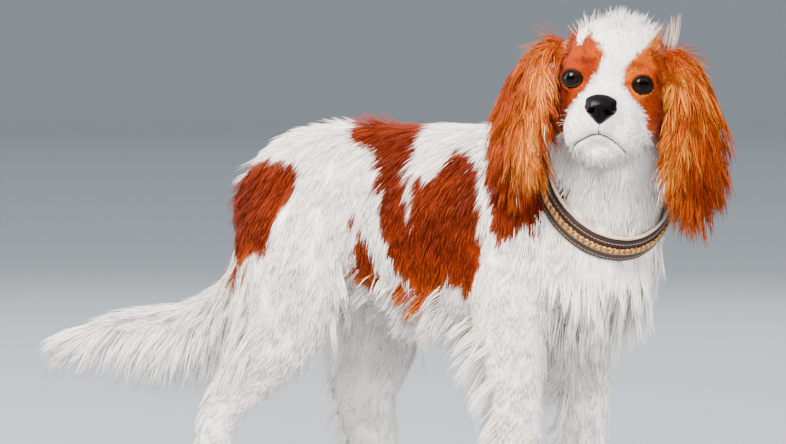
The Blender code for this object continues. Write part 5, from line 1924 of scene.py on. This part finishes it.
    def trunk(self) -> list[Any]:
        """The flat coat of the sides and back, its waves, the chest's frill and the belly's fringe.

        Returns:
            The pieces.
        """
        grow = self.coat.grow
        x, y, z = self.place.T
        trunk = self.share["trunk"]
        done = []
        for side in Side:
            half = trunk * (y * side.value > 0)
            flat = grow(f"coat_body_{side.name.lower()}", self.body_fur, 2000, half, 101 + side.value)
            done.append(self.coat.finish_piece(flat.name, [flat]))
        back = trunk * smoothstep(-0.1, 0.4, self.normal[:, 2]) * (0.5 + 1.5 * (x < -0.02))
        flank = 0.35 * trunk * smoothstep(0.3, -0.2, self.normal[:, 2]) * (z > 0.17)
        waves = grow("waves", self.body_waves, 250, back + flank, 111)
        ridge = trunk * (x > -0.105) * (x < -0.045) * (np.abs(y) < 0.028) * (z > 0.30)
        ridge = grow("ridge", self.ridge_tufts, 24, ridge, 112)
        rump = trunk * (x < -0.165) * (z > 0.24)
        rump = grow("rump", self.ridge_tufts, 34, rump, 113)
        done.append(self.coat.finish_piece("coat_waves", [waves, ridge, rump]))
        front = trunk * smoothstep(0.15, 0.55, self.normal[:, 0])
        front = front * (z < 0.262) * (z > 0.145) * (np.abs(y) < 0.062)
        upper = grow("frill_upper", self.frill, 116, front, 121, scale=self.frill_length, aim=self.frill_way)
        between = trunk * (x > 0.085) * (x < 0.165) * (z < 0.17) * (np.abs(y) < 0.036)
        lower = grow("frill_lower", self.frill, 54, between, 122, aim=self.frill_way)
        done.append(self.coat.finish_piece("coat_frill", [upper, lower]))
        under = trunk * (self.normal[:, 2] < -0.35) * (x > -0.075) * (x < 0.085)
        fringe = grow("coat_belly", self.belly, 110, under, 123, scale=self.belly_length, aim=self.belly_way)
        done.append(self.coat.finish_piece(fringe.name, [fringe]))
        return done

    def frill_length(self, roots: Array) -> Array:
        """The frill is shorter at its top."""
        return 0.55 + 0.45 * smoothstep(0.25, 0.19, roots[:, 2])

    def frill_way(self, roots: Array, normals: Array, lie: Array) -> Array:
        """The frill falls down the chest and a little back."""
        way = np.tile((-0.05, 0.0, -1.0), (len(roots), 1))
        return way - normals * 0.8 * np.sum(way * normals, axis=1, keepdims=True)

    def belly_length(self, roots: Array) -> Array:
        """The belly's fringe is shorter towards the flank."""
        return 0.62 + 0.38 * smoothstep(-0.06, 0.07, roots[:, 0] - BODY_SHIFT[0])

    def belly_way(self, roots: Array, normals: Array, lie: Array) -> Array:
        """The belly's fringe hangs back and down."""
        across = np.sign(roots[:, 1] - BODY_SHIFT[1])
        way = leaning(-0.72, 0.16 * across, -0.62)
        return way - normals * 0.4 * np.sum(way * normals, axis=1, keepdims=True)

    def neck(self) -> list[Any]:
        """The neck's thicker coat: none is rooted under the strap, and it lies down where it meets it."""
        fur = self.coat.grow("coat_neck", self.neck_fur, 560, self.share["neck"], 131)
        return [self.coat.finish_piece(fur.name, [fur])]

    def head(self) -> list[Any]:
        """Very short fur on the face, longer on the crown and cheeks, wisps and whiskers.

        Returns:
            The pieces.
        """
        grow = self.coat.grow
        x, y, z = self.face_place.T
        head = self.share["head"] * self.face_open()
        front = smoothstep(-0.030, 0.004, x)
        near = head * (0.15 + front) * (1.0 + 1.2 * smoothstep(0.0, 0.03, x))
        face = grow("coat_face", self.face_fur, 2100, near, 141, scale=self.face_length,
                    blocks=self.clear_of_eyes)
        done = [self.coat.finish_piece(face.name, [face])]
        rear = head * smoothstep(0.012, -0.02, x)
        crown = grow("crown", self.crown_fur, 780, rear, 142, scale=self.crown_length,
                     blocks=self.clear_of_eyes)
        top = head * (z > 0.034) * (np.abs(y) < 0.034) * (x < -0.01)
        wisps = grow("wisps", self.crown_wisps, 56, top, 143)
        side = head * (np.abs(y) > 0.028) * (z > -0.040) * (x < 0.0)
        temple = grow("temple", self.temple, 150, side, 145, aim=self.temple_way, blocks=self.clear_of_eyes,
                      marks=(1.0, 0.42))
        done.append(self.coat.finish_piece("coat_crown", [crown, wisps, temple]))
        chin = head * (z < -0.052) * (x > -0.012) * (np.abs(y) < 0.030)
        # The beard is a tan mix of white and brown: partly its own cream-tan hair, partly painted shade under
        # the muzzle
        beard = grow("beard", self.beard, 190, chin, 146, marks=(0.34, 0.30))
        done.append(self.coat.finish_piece("coat_beard", [beard]))
        lip = head * (x > 0.022) * (z < -0.024) * (z > -0.052) * (np.abs(y) > 0.012)
        hairs = grow("whiskers", self.muzzle_hairs, 18, lip, 144)
        done.append(self.coat.finish_piece(hairs.name, [hairs]))
        return done

    def crown_length(self, roots: Array) -> Array:
        """The crown's fur is shorter down the cheeks."""
        return 0.42 + 0.58 * smoothstep(-0.020, 0.020, self.skin.body.to_head(roots)[:, 2])

    def temple_way(self, roots: Array, normals: Array, lie: Array) -> Array:
        """The hair of the temples and cheeks runs back and down into the ear's."""
        body = self.skin.body
        side = np.sign(body.to_head(roots)[:, 1])
        return body.head_way(leaning(-0.35, side * 0.45, -0.75))

    def face_length(self, roots: Array) -> Array:
        """Fur is shortest by the nose and the eyes.

        Args:
            roots: Frame places, one a row.

        Returns:
            Each root's share of the full length.
        """
        place = self.skin.body.to_head(roots)
        away = np.linalg.norm(place - np.array((0.046, 0.0, -0.018)), axis=1)
        length = 0.50 + 0.70 * smoothstep(0.014, 0.062, away)
        for _, at, _ in self.skin.eye_places():
            eye = np.linalg.norm(place - np.array(at), axis=1)
            length *= 0.45 + 0.55 * smoothstep(0.011, 0.022, eye)
        chin = smoothstep(-0.050, -0.060, place[:, 2])
        return length * (1 + 0.8 * chin)

    def ears(self) -> list[Any]:
        """The ears' long wavy hair, in tiers down the leather and along its edges.

        Returns:
            The pieces.
        """
        done = []
        for side in Side:
            name = f"ear_{side.name.lower()}"
            limb = self.skin.limbs[name]
            share = self.share[name]
            near, _, along = limb.nearness(self.skin.middles)
            outside = 0.25 + 1.0 * (self.normal @ self.skin.body.ear_out(side) > 0)
            edge = self.ear_front(self.skin.middles, limb, side)
            weight = (share > 0.5) * outside * (0.6 + 0.8 * along) * (near < 1.6) * (1.0 + 1.1 * edge)
            hair = self.coat.grow(f"coat_{name}", self.ear_hair, 268, weight, 151 + side.value,
                                  scale=lambda roots, limb=limb: 0.60 + 0.40 * limb.nearness(roots)[2],
                                  aim=lambda roots, normals, lie, limb=limb, side=side:
                                  self.ear_way(roots, normals, limb, side))
            under = self.coat.grow("down", self.ear_down, 170, (share > 0.5) * 1.0, 161 + side.value)
            root = (share > 0.4) * (along < 0.22) * (self.normal[:, 2] > 0.0)
            wisps = self.coat.grow("wisps", self.crown_wisps, 16, root, 165 + side.value)
            parts = [hair, under, wisps]
            if side is Side.LEFT:
                top = (share > 0.4) * (along < 0.14) * (self.normal[:, 2] > 0.45)
                top = top * (self.face_place[:, 0] < -0.02)
                parts.append(self.coat.grow("tuft", self.ear_tuft, 5, top, 171, aim=self.tuft_way,
                                            marks=(0.50, 0.85)))
            done.append(self.coat.finish_piece(hair.name, parts, "fur_chestnut"))
        return done

    def tuft_way(self, roots: Array, normals: Array, lie: Array) -> Array:
        """The wind lifts a little of the far ear's hair."""
        return np.tile(np.array((0.05, 0.12, 1.0)), (len(roots), 1))

    def ear_off(self, places: Array, limb: Limb) -> Array:
        """How far places lie off an ear's middle line.

        Args:
            places: Frame places, one a row.
            limb: The ear.

        Returns:
            An arrow for each, square to the line.
        """
        _, way, share = limb.nearness(places)
        off = places - limb.centres[np.round(share * (len(limb.centres) - 1)).astype(int)]
        return off - way * np.sum(off * way, axis=1, keepdims=True)

    def ear_front(self, places: Array, limb: Limb, side: Side) -> Array:
        """0 on an ear's rear edge, 1 on the edge that lies against the cheek."""
        return smoothstep(-0.006, 0.022, self.ear_off(places, limb) @ self.skin.body.ear_ahead(side))

    def ear_way(self, roots: Array, normals: Array, limb: Limb, side: Side) -> Array:
        """Ear hair follows the leather, then falls, and its front edge closes in on the cheek.

        Args:
            roots: Frame places, one a row.
            normals: The skin's normal at each.
            limb: The ear.
            side: Which ear it is.

        Returns:
            A direction for each root.
        """
        _, way, share = limb.nearness(roots)
        front = self.skin.body.ear_ahead(side)
        ahead = self.ear_front(roots, limb, side)[:, None]
        return unit(way * (0.3 + 0.7 * share)[:, None] + DOWN * (0.7 - 0.5 * share)[:, None]
                    + self.ear_off(roots, limb) * 8.0 + front * ahead * 1.0 + normals * 0.1)

    def legs(self) -> list[Any]:
        """Short fur on the legs and paws, with the feathers behind them.

        Returns:
            The pieces.
        """
        grow = self.coat.grow
        done = []
        z = self.place[:, 2]
        for side in Side:
            end = side.name.lower()
            fore, hind = self.share[f"foreleg_{end}"], self.share[f"hindleg_{end}"]
            shin = grow("shin", self.leg_fur, 920, fore * (z > 0.02), 171 + side.value)
            behind = (fore > 0.5) * (self.normal[:, 0] < -0.25) * (z > 0.045) * (z < 0.160)
            tail = grow("feather", self.feather, 64, behind, 173 + side.value, scale=self.feather_length,
                        aim=self.feather_way)
            done.append(self.coat.finish_piece(f"coat_foreleg_{end}", [shin, tail]))
            thigh = grow("thigh", self.thigh_fur, 640, hind * (z > 0.12), 181 + side.value)
            shank = grow("shank", self.leg_fur, 620, hind * (z < 0.135) * (z > 0.02), 183 + side.value)
            behind = (hind > 0.5) * (self.normal[:, 0] < -0.25) * (z > 0.12) * (z < 0.215)
            breech = grow("breech", self.feather, 56, behind, 185 + side.value, aim=self.breech_way)
            behind = (hind > 0.5) * (self.normal[:, 0] < -0.4) * (z > 0.045) * (z < 0.115)
            heel = grow("heel", self.feather, 26, behind, 187 + side.value, aim=self.breech_way,
                        scale=lambda roots: np.full(len(roots), 0.62))
            done.append(self.coat.finish_piece(f"coat_hindleg_{end}", [thigh, shank, breech, heel]))
            paws = [grow("paw", self.paw_fur, 150, share * (z < 0.036) * (z > 0.003), 191 + side.value + k)
                    for k, share in enumerate((fore, hind))]
            paws += [grow("toes", self.toe_fur, 20, share * (z < 0.024) * (z > 0.008)
                          * (self.normal[:, 0] > 0.1), 201 + side.value + k, aim=self.toe_way)
                     for k, share in enumerate((fore, hind))]
            done.append(self.coat.finish_piece(f"coat_paws_{end}", paws))
        return done

    def feather_length(self, roots: Array) -> Array:
        """The foreleg's feather is shorter towards the paw."""
        return 0.62 + 0.38 * smoothstep(0.06, 0.14, roots[:, 2])

    def feather_way(self, roots: Array, normals: Array, lie: Array) -> Array:
        """The foreleg's feather stands back and falls."""
        return leaning(-0.72, normals[:, 1] * 0.08, -0.72)

    def breech_way(self, roots: Array, normals: Array, lie: Array) -> Array:
        """The feathers behind the thigh and the hock fall close to the leg."""
        return leaning(-0.45, normals[:, 1] * 0.06, -0.88)

    def toe_way(self, roots: Array, normals: Array, lie: Array) -> Array:
        """The hair between the toes runs forward and down."""
        return leaning(0.85, normals[:, 1] * 0.2, -0.45)

    def tail(self) -> list[Any]:
        """The tail's base, and its plume: short above, long and hanging below.

        Returns:
            The pieces.
        """
        grow = self.coat.grow
        share = self.share["tail"]
        limb = self.skin.limbs["tail"]
        along = limb.nearness(self.skin.middles)[2]
        base = grow("tail_base", self.thigh_fur, 380, share * (along < 0.62), 211)
        rear = (share > 0.5) * (along > 0.18) * (along < 0.5) * (self.normal[:, 0] < 0.0)
        tufts = grow("tail_tufts", self.plume_top, 70, rear, 212)
        done = [self.coat.finish_piece("coat_tail_base", [base, tufts])]
        lower = (share > 0.5) * (along > 0.46) * (0.35 + 1.0 * (self.normal[:, 2] < 0.25))
        hang = grow("plume", self.plume, 166, lower, 213, scale=self.plume_length, aim=self.plume_way)
        upper = (share > 0.5) * (along > 0.5) * (self.normal[:, 2] > -0.2)
        top = grow("plume_top", self.plume_top, 120, upper, 214)
        end = grow("plume_end", self.plume, 60, (share > 0.5) * (along > 0.93), 215, aim=self.plume_end_way)
        done.append(self.coat.finish_piece("coat_plume", [hang, top, end]))
        return done

    def plume_length(self, roots: Array) -> Array:
        """The plume is longest at its middle."""
        along = self.skin.limbs["tail"].nearness(roots)[2]
        return 0.72 + 0.28 * smoothstep(0.45, 0.62, along) - 0.04 * smoothstep(0.85, 1.0, along)

    def plume_end_way(self, roots: Array, normals: Array, lie: Array) -> Array:
        """The tail's last hair runs on from its tip."""
        _, way, _ = self.skin.limbs["tail"].nearness(roots)
        return unit(way + normals * 0.10)

    def plume_way(self, roots: Array, normals: Array, lie: Array) -> Array:
        """The plume's hair sweeps back along the tail and falls."""
        _, way, share = self.skin.limbs["tail"].nearness(roots)
        tip = smoothstep(0.80, 1.0, share)[:, None]
        return unit(way * (0.62 + 0.3 * tip) + DOWN * (0.80 - 0.45 * tip) + normals * 0.12)


# The bare parts of the head and feet


@dataclass
class Face:
    """The eyes, the rims of the lids, the nose and the lips."""

    skin: Skin
    eye: Any
    bare: Any
    rim: Any
    lip: Any
    nose_at: tuple = (0.0455, 0.0, -0.0192)
    nose_size: tuple = (0.0104, 0.0138, 0.0128)
    nostril: tuple = (0.62, 0.50, -0.12)
    rim_thick: float = 0.0008
    cornea_deg: float = 34.0
    cornea_rise: float = 0.0005
    lip_radius: float = 0.0006
    groove: float = 0.0005

    def make(self) -> list[Any]:
        """Builds every piece of the face."""
        return [*self.eyes(), self.rims(), self.nose(), self.lips()]

    def eyes(self) -> list[Any]:
        """The eyeballs, with a raised cornea.

        Returns:
            The objects.
        """
        done = []
        matrix = self.skin.body.head_matrix()
        for side, at, look in self.skin.eye_places():
            shape = bmesh.new()
            bmesh.ops.create_uvsphere(shape, u_segments=64, v_segments=48, radius=self.skin.eye_radius)
            turns = []
            for corner in shape.verts:
                turn = math.degrees(corner.co.angle(Vector((0, 0, 1))))
                turns.append(min(turn / 60.0, 1.0))
                rise = self.cornea_rise * max(0.0, 1.0 - (turn / self.cornea_deg) ** 2)
                corner.co += corner.co.normalized() * rise
            mesh = smoothed(mesh_from(f"eyeball_{side.name.lower()}", shape))
            layer = mesh.attributes.new("Pupil", "FLOAT", "POINT")
            layer.data.foreach_set("value", turns)
            mesh.transform(matrix @ self.skin.eye_matrix(at, look))
            done.append(placed(linked(mesh.name, mesh), self.eye, "eye_dark", f"eye_{side.name.lower()}"))
        return done

    def rims(self) -> Any:
        """The dark rims of the lids: an almond on each eyeball.

        Returns:
            The object.
        """
        head = self.skin.body.head_matrix()
        rings = [lid_ring(head @ self.skin.eye_matrix(at, look), self.skin.eye_radius + 0.0002,
                          self.skin.almond, self.rim_thick * 1.4, self.rim_thick)
                 for _, at, look in self.skin.eye_places()]
        return placed(joined("lid_rims", rings), self.rim, "nose_black")

    def nose(self) -> Any:
        """The nose: broad above, narrow below, with two comma-shaped nostrils and a middle groove.

        Returns:
            The object.
        """
        shape = bmesh.new()
        bmesh.ops.create_icosphere(shape, subdivisions=6, radius=1.0)
        points = np.array([corner.co[:] for corner in shape.verts])
        x, y, z = points.T.copy()
        front = smoothstep(-0.1, 0.5, x)
        narrow = 1.0 - 0.50 * smoothstep(0.10, -0.95, z)
        narrow *= 1.0 + 0.22 * smoothstep(0.25, 0.75, z)
        spread = y * narrow
        ahead = x * (1.0 - 0.10 * smoothstep(0.3, -1.0, z)) - 0.10 * front * smoothstep(0.25, 0.9, z)
        groove = np.exp(-(spread / 0.075) ** 2) * front * smoothstep(0.35, -0.1, z)
        ahead = ahead - 0.13 * groove
        wing = np.exp(-(((np.abs(y) - 0.60) / 0.24) ** 2 + ((z + 0.05) / 0.42) ** 2))
        ahead = ahead + 0.10 * wing * front
        for side in (-1, 1):
            turn = side * (y - side * self.nostril[1])
            slit = z - self.nostril[2] - 0.9 * turn * turn + 0.30 * turn
            hole = np.exp(-((turn / 0.20) ** 2 + (slit / 0.135) ** 2) ** 1.5) * front
            tail = np.exp(-(((turn - 0.30) / 0.22) ** 2 + ((slit + 0.05) / 0.07) ** 2)) * front
            ahead = ahead - 0.62 * hole - 0.30 * tail
        size = np.array(self.nose_size)
        place = np.stack((ahead, spread, z), axis=1) * size + np.array(self.nose_at)
        for corner, spot in zip(shape.verts, self.skin.body.from_head(place)):
            corner.co = spot
        mesh = smoothed(mesh_from("nose_pad", shape))
        return placed(linked("nose_pad", mesh), self.bare, "nose_black", "nose")

    def on_face(self, turn: float, height: float, axis_x: float) -> Array | None:
        """Finds a place on the skin of the face.

        Args:
            turn: Its turn from the front in degrees.
            height: Its height in the head's axes.
            axis_x: Where the turn's axis stands.

        Returns:
            The place in the frame, or None.
        """
        body = self.skin.body
        way = np.array((math.cos(math.radians(turn)), math.sin(math.radians(turn)), 0.0))
        axis = np.array((axis_x, 0.0, height))
        start, end = body.from_head(axis + way * 0.10), body.from_head(axis)
        hit = self.skin.tree.ray_cast(Vector(start), Vector(end - start).normalized())[0]
        return None if hit is None else np.array(hit)

    def lips(self) -> Any:
        """The dark edge of the lips along the mouth, and the groove below the nose.

        Returns:
            The object.
        """
        rows = [row for row in self.skin.mouth_rows() if abs(row[0]) < 74]
        line = [self.on_face(turn, height, self.skin.mouth_axis_x) for turn, height in rows]
        line = [place for place in line if place is not None]
        count = len(line)
        radii = [self.lip_radius * math.sin(math.pi * min(1.0, max(0.04, (k + 0.5) / count))) ** 0.4
                 for k in range(count)]
        stations = np.array([(*place, radius, radius) for place, radius in zip(line, radii)])
        mouth = tube("lips", stations, (0.0, 0.0, 1.0), 10)
        groove = [self.on_face(0.0, height, 0.0) for height in np.linspace(-0.030, -0.0405, 6)]
        groove = np.array([(*place, self.groove, self.groove) for place in groove if place is not None])
        middle = tube("groove", groove, self.skin.body.head_way((0.0, 1.0, 0.0)), 8)
        whole = joined("lips", [mouth, middle])
        return placed(whole, self.lip, "nose_black")


@dataclass
class Claws:
    """Four claws on each paw."""

    skin: Skin
    horn: Any
    length: float = 0.0085
    width: float = 0.0020
    ahead: float = 0.0095
    gap: float = 0.0104
    height: float = 0.0085
    rings: int = 7

    def make(self) -> list[Any]:
        """Builds all sixteen as one piece.

        Returns:
            The piece, alone in a list.
        """
        claws = []
        body = self.skin.body
        for name, limb in self.skin.limbs.items():
            if not name.startswith(("fore", "hind")):
                continue
            ankle = limb.rows[-1]
            for k in TOES:
                reach = body.paw[0] - body.toe_radius - body.toe_slant * abs(k) + self.ahead
                start = np.array((ankle[0] + body.paw_forward + reach, ankle[1] + k * self.gap, self.height))
                stations = []
                for n in range(self.rings):
                    share = n / (self.rings - 1)
                    place = start + np.array((share, 0.04 * k * share, -0.62 * share**1.8)) * self.length
                    radius = self.width * (1.0 - 0.86 * share**1.3)
                    stations.append((*place, radius * 0.8, radius))
                claws.append(tube("claw", np.array(stations), (0.0, 0.0, 1.0), 12))
        whole = joined("claws", claws)
        return [placed(whole, self.horn, "nose_black")]


@dataclass
class Collar:
    """The strap with its stitched edges, the cream lining, the plaited cord and the buckle."""

    line: CollarLine
    leather: Any
    cream: Any
    cord: Any
    thread: Any
    steel: Any
    lining_inset: float = 0.0010
    braid_width: float = 0.0070
    cord_radius: float = 0.00112
    cord_rise: float = 0.0004
    thread_radius: float = 0.00036
    braid_shift: float = 0.0012
    braid_turns: int = 26
    buckle_gap_deg: float = 28.0
    buckle_size: tuple = (0.0240, 0.0300, 0.0026)
    buckle_bar: float = 0.0030
    buckle_corner: float = 0.0035
    prong: tuple = (0.0011, 0.0009)
    pressed_depth: float = 0.00045
    pressed_in: float = 0.0030
    stitch: float = 0.0034

    def hoop(self, name: str, section: Sequence[tuple[float, float]], steps: int = 220) -> Any:
        """A whole ring of one section, whose outside ripples a little.

        Args:
            name: The object's name.
            section: Corners, each a distance out and a height.
            steps: How many sections go round.

        Returns:
            The object.
        """
        points = []
        for k in range(steps):
            turn = 2 * math.pi * k / steps
            ripple = 0.00012 * math.sin(9 * turn) + 0.00008 * math.sin(23 * turn + 1)
            points += [self.line.point(turn, out + ripple * (out > 0.001), height) for out, height in section]
        return faced_out(piece_from(name, points, ring_faces(steps, len(section))))

    def strap(self) -> Any:
        """The brown strap: rounded edges, with a pressed line beside each.

        Returns:
            The object.
        """
        half, thick = self.line.width / 2, self.line.thick
        section = [(0.0, -half + 0.0006), (thick * 0.35, -half), (thick * 0.75, -half + 0.0003)]
        for share in np.linspace(-1.0, 1.0, 33):
            height = share * (half - 0.0008)
            rise = thick - 0.0005 * abs(share) ** 8
            edge = half - 0.0008 - abs(height)
            rise -= self.pressed_depth * math.exp(-((edge - self.pressed_in) / self.pressed_depth) ** 2)
            section.append((rise, height))
        section += [(thick * 0.75, half - 0.0003), (thick * 0.35, half), (0.0, half - 0.0006)]
        return placed(self.hoop("strap_leather", section), self.leather, "leather_brown", "collar_strap")

    def lining(self) -> Any:
        """The cream lining, rolled over the upper edge, with small gathers.

        Returns:
            The object.
        """
        low, wide = self.line.width / 2 + self.line.gap, 0.85 * self.line.lining_width
        outer = self.line.thick - self.lining_inset
        section = [(0.0, low)]
        for turn in np.linspace(-0.5, 0.5, 13):
            section.append((outer * (0.72 + 0.28 * math.cos(math.pi * turn)), low + wide * (0.5 + turn)))
        section.append((0.0, low + wide))
        return placed(self.hoop("lining_leather", section), self.cream, "leather_cream", "collar_lining")

    def braid(self) -> Any:
        """Three waxed cords plaited along the middle of the strap.

        Returns:
            The object.
        """
        gap = math.radians(self.buckle_gap_deg)
        steps, sides = 620, 10
        radius = self.cord_radius
        cords, twists = [], []
        for cord in range(3):
            stations = []
            for k in range(steps):
                share = k / (steps - 1)
                turn = gap - math.pi + share * (2 * math.pi - 2 * gap)
                phase = 2 * math.pi * (self.braid_turns * share + cord / 3)
                across = self.braid_shift + (self.braid_width / 2 - radius) * math.sin(phase)
                rise = self.cord_rise * math.cos(2 * phase)
                out = self.line.thick + self.line.gap + radius * 0.95 + rise
                stations.append((*self.line.point(turn, out, across), radius, radius * 0.92))
            axis = Vector(self.line.axis).normalized()
            cords.append(tube("cord", np.array(stations), axis, sides))
            for k in range(steps):
                twists += [k * 0.62 + 2 * math.pi * n / sides for n in range(sides)]
        whole = joined("plaited_cord", cords)
        layer = whole.data.attributes.new("Twist", "FLOAT", "POINT")
        layer.data.foreach_set("value", twists)
        return placed(whole, self.cord, "braid_gold", "collar_braid")

    def stitches(self) -> Any:
        """Two rows of lock stitches, each a short raised thread in the pressed line.

        Returns:
            The object.
        """
        half = self.line.width / 2
        thread = (self.thread_radius, self.thread_radius)
        parts = []
        mean = (self.line.long + self.line.wide) / 2
        count = int(2 * math.pi * mean / self.stitch)
        for row in (-1, 1):
            height = row * (half - 0.0038)
            for k in range(count):
                stations = []
                for n in range(4):
                    share = (n / 3) * 0.72
                    turn = 2 * math.pi * (k + share) / count
                    out = self.line.thick - 0.00035 + 0.0004 * math.sin(math.pi * n / 3)
                    stations.append((*self.line.point(turn, out, height), *thread))
                parts.append(tube("stitch", np.array(stations), Vector(self.line.axis), 6))
        whole = joined("stitches", parts)
        return placed(whole, self.thread, "leather_cream")

    def buckle(self) -> Any:
        """A square frame of round bar with a tapered prong, at the nape.

        Returns:
            The object.
        """
        lean = Matrix.Rotation(math.atan(self.line.flare / self.line.width), 4, "Y")
        back = Matrix.Translation((-self.line.long - self.line.thick - self.line.gap, 0.0, 0.0))
        face = self.line.matrix() @ back @ lean
        long, wide, thick = self.buckle_size
        half_long, half_wide = (long - self.buckle_bar) / 2, (wide - self.buckle_bar) / 2
        round_corner, path = self.buckle_corner, []
        for cx, cy, first in ((1, 1, 0), (-1, 1, 90), (-1, -1, 180), (1, -1, 270)):
            for n in range(7):
                turn = math.radians(first + 15 * n)
                path.append((cx * (half_long - round_corner) + round_corner * math.cos(turn),
                             cy * (half_wide - round_corner) + round_corner * math.sin(turn)))
        points, sides, count = [], 14, len(path)
        for k, (u, v) in enumerate(path):
            ahead = np.array(path[(k + 1) % count]) - np.array(path[k - 1])
            normal = np.array((ahead[1], -ahead[0])) / np.linalg.norm(ahead)
            for n in range(sides):
                turn = 2 * math.pi * n / sides
                side, rise = math.cos(turn) * self.buckle_bar / 2, math.sin(turn) * thick / 2
                points.append(face @ Vector((-thick / 2 + rise, u + normal[0] * side, v + normal[1] * side)))
        ring = faced_out(piece_from("buckle_frame", points, ring_faces(count, sides)))
        stations = []
        for n in range(9):
            share = n / 8
            spot = face @ Vector((-thick * 0.55, -half_long + 2 * half_long * share, 0.0))
            stations.append((*spot, self.prong[0] * (1 - 0.35 * share), self.prong[1]))
        prong = tube("prong", np.array(stations), Vector(self.line.axis), 12)
        whole = joined("steel_buckle", [ring, prong])
        return placed(whole, self.steel, "buckle_steel", "collar_buckle")

    def make(self) -> list[Any]:
        """Builds every piece of the collar."""
        return [self.strap(), self.lining(), self.braid(), self.stitches(), self.buckle()]


@dataclass
class Studio:
    """A pale sweep of paper, soft lamps and the camera at the photograph's angle."""

    paper: Any
    azimuth_deg: float = 30.0
    elevation_deg: float = 2.5
    distance: float = 3.5
    target: tuple = (-0.040, -0.023, 0.246)
    pixels_per_metre: float = 1130.0
    picture_width: int = 786
    sensor: float = 36.0
    floor_radius: float = 15.0
    floor_curve: float = 4.0
    wall_height: float = 12.0
    lit: tuple = (0.05, 0.0, 0.25)
    sky: str = "#ebecee"
    sky_strength: float = 1.85
    lamps: tuple = (
        ("key", (-0.35, -2.0, 2.2), 1.4, 285.0, "#fff3e6"),
        ("fill", (2.2, -1.6, 1.0), 2.2, 165.0, "#f6f5f8"),
        ("rim", (-0.8, 2.2, 1.9), 1.8, 60.0, "#ffffff"),
        ("left", (-2.4, -0.6, 1.2), 2.0, 60.0, "#f4f7ff"),
    )

    def build(self) -> None:
        """Sets the floor, the lamps, the world and the camera."""
        self.floor()
        for name, place, size, power, colour in self.lamps:
            data = bpy.data.lights.new(name, "AREA")
            data.size = size
            data.energy = power
            data.color = linear(colour)[:3]
            lamp = linked(name, data)
            lamp.visible_glossy = name != "fill"
            lamp.location = place
            lamp.rotation_euler = (Vector(self.lit) - Vector(place)).to_track_quat("-Z", "Y").to_euler()
        world = bpy.data.worlds.new("studio")
        world.use_nodes = True
        sky = world.node_tree.nodes["Background"].inputs
        sky["Color"].default_value = linear(self.sky)
        sky["Strength"].default_value = self.sky_strength
        bpy.context.scene.world = world
        self.camera()

    def floor(self) -> None:
        """A round floor that turns up into a far wall on every side."""
        points, faces = [], []
        sides = 96
        flat, curve = self.floor_radius, self.floor_curve
        profile = [(0.0, 0.0), (0.2 * flat, 0.0), (flat, 0.0)]
        for n in range(1, 13):
            turn = math.pi / 2 * n / 12
            profile.append((flat + curve * math.sin(turn), curve * (1 - math.cos(turn))))
        profile.append((flat + curve, self.wall_height))
        points.append((0.0, 0.0, 0.0))
        for radius, height in profile[1:]:
            for k in range(sides):
                turn = 2 * math.pi * k / sides
                points.append((radius * math.cos(turn), radius * math.sin(turn), height))
        for k in range(sides):
            faces.append((0, 1 + k, 1 + (k + 1) % sides))
        for ring in range(len(profile) - 2):
            for k in range(sides):
                a, b = 1 + ring * sides + k, 1 + ring * sides + (k + 1) % sides
                faces.append((a, a + sides, b + sides, b))
        sweep = piece_from("studio_floor", np.array(points), faces)
        sweep.data.materials.append(self.paper)

    def camera(self) -> None:
        """The camera, framed as the photograph is."""
        turn, rise = math.radians(self.azimuth_deg), math.radians(self.elevation_deg)
        back = Vector((math.sin(turn) * math.cos(rise), -math.cos(turn) * math.cos(rise), math.sin(rise)))
        target = Vector(self.target) + Vector(BODY_SHIFT)
        data = bpy.data.cameras.new("camera")
        data.sensor_width = self.sensor
        data.lens = self.pixels_per_metre * self.distance / self.picture_width * self.sensor
        data.dof.use_dof = False
        camera = linked("camera", data)
        camera.location = target + back * self.distance
        camera.rotation_euler = (-back).to_track_quat("-Z", "Y").to_euler()
        bpy.context.scene.camera = camera


def main() -> None:
    """Builds the dressed spaniel and reports each piece."""
    logging.basicConfig(level=logging.INFO, format="%(message)s")
    body = Anatomy()
    hair = DogHair()
    line = CollarLine()
    skin = Skin(body, Markings(body), line, ShortFur().make(hair))
    skin.build()
    coat = Coat(skin, hair.make())
    SpanielCoat(skin, coat).make()
    LOG.info("coat of %d triangles", coat.triangles)
    nose = MoistSkin("nose_leather", "#040203", "#0a0607", 0.20, 0.0009, 0.4, 0.10).make()
    rim = MoistSkin("lid_rim_skin", "#080403", "#120a07", 0.45, 0.0006, 0.15, 0.15).make()
    lip = MoistSkin("lip_skin", "#38211a", "#4f3327", 0.50, 0.0006, 0.15, 0.25).make()
    Face(skin, WetEye().make(), nose, rim, lip).make()
    Claws(skin, ClawHorn().make()).make()
    Collar(
        line,
        BridleLeather("bridle_leather_brown", "#220f0b", "#3a1f17").make(),
        BridleLeather("bridle_leather_cream", "#cdb096", "#ead4c2", 0.5).make(),
        WaxedCord().make(), SpunThread().make(), BuckleSteel().make(),
    ).make()
    Studio(StudioPaper().make()).build()


if __name__ == "__main__":
    main()
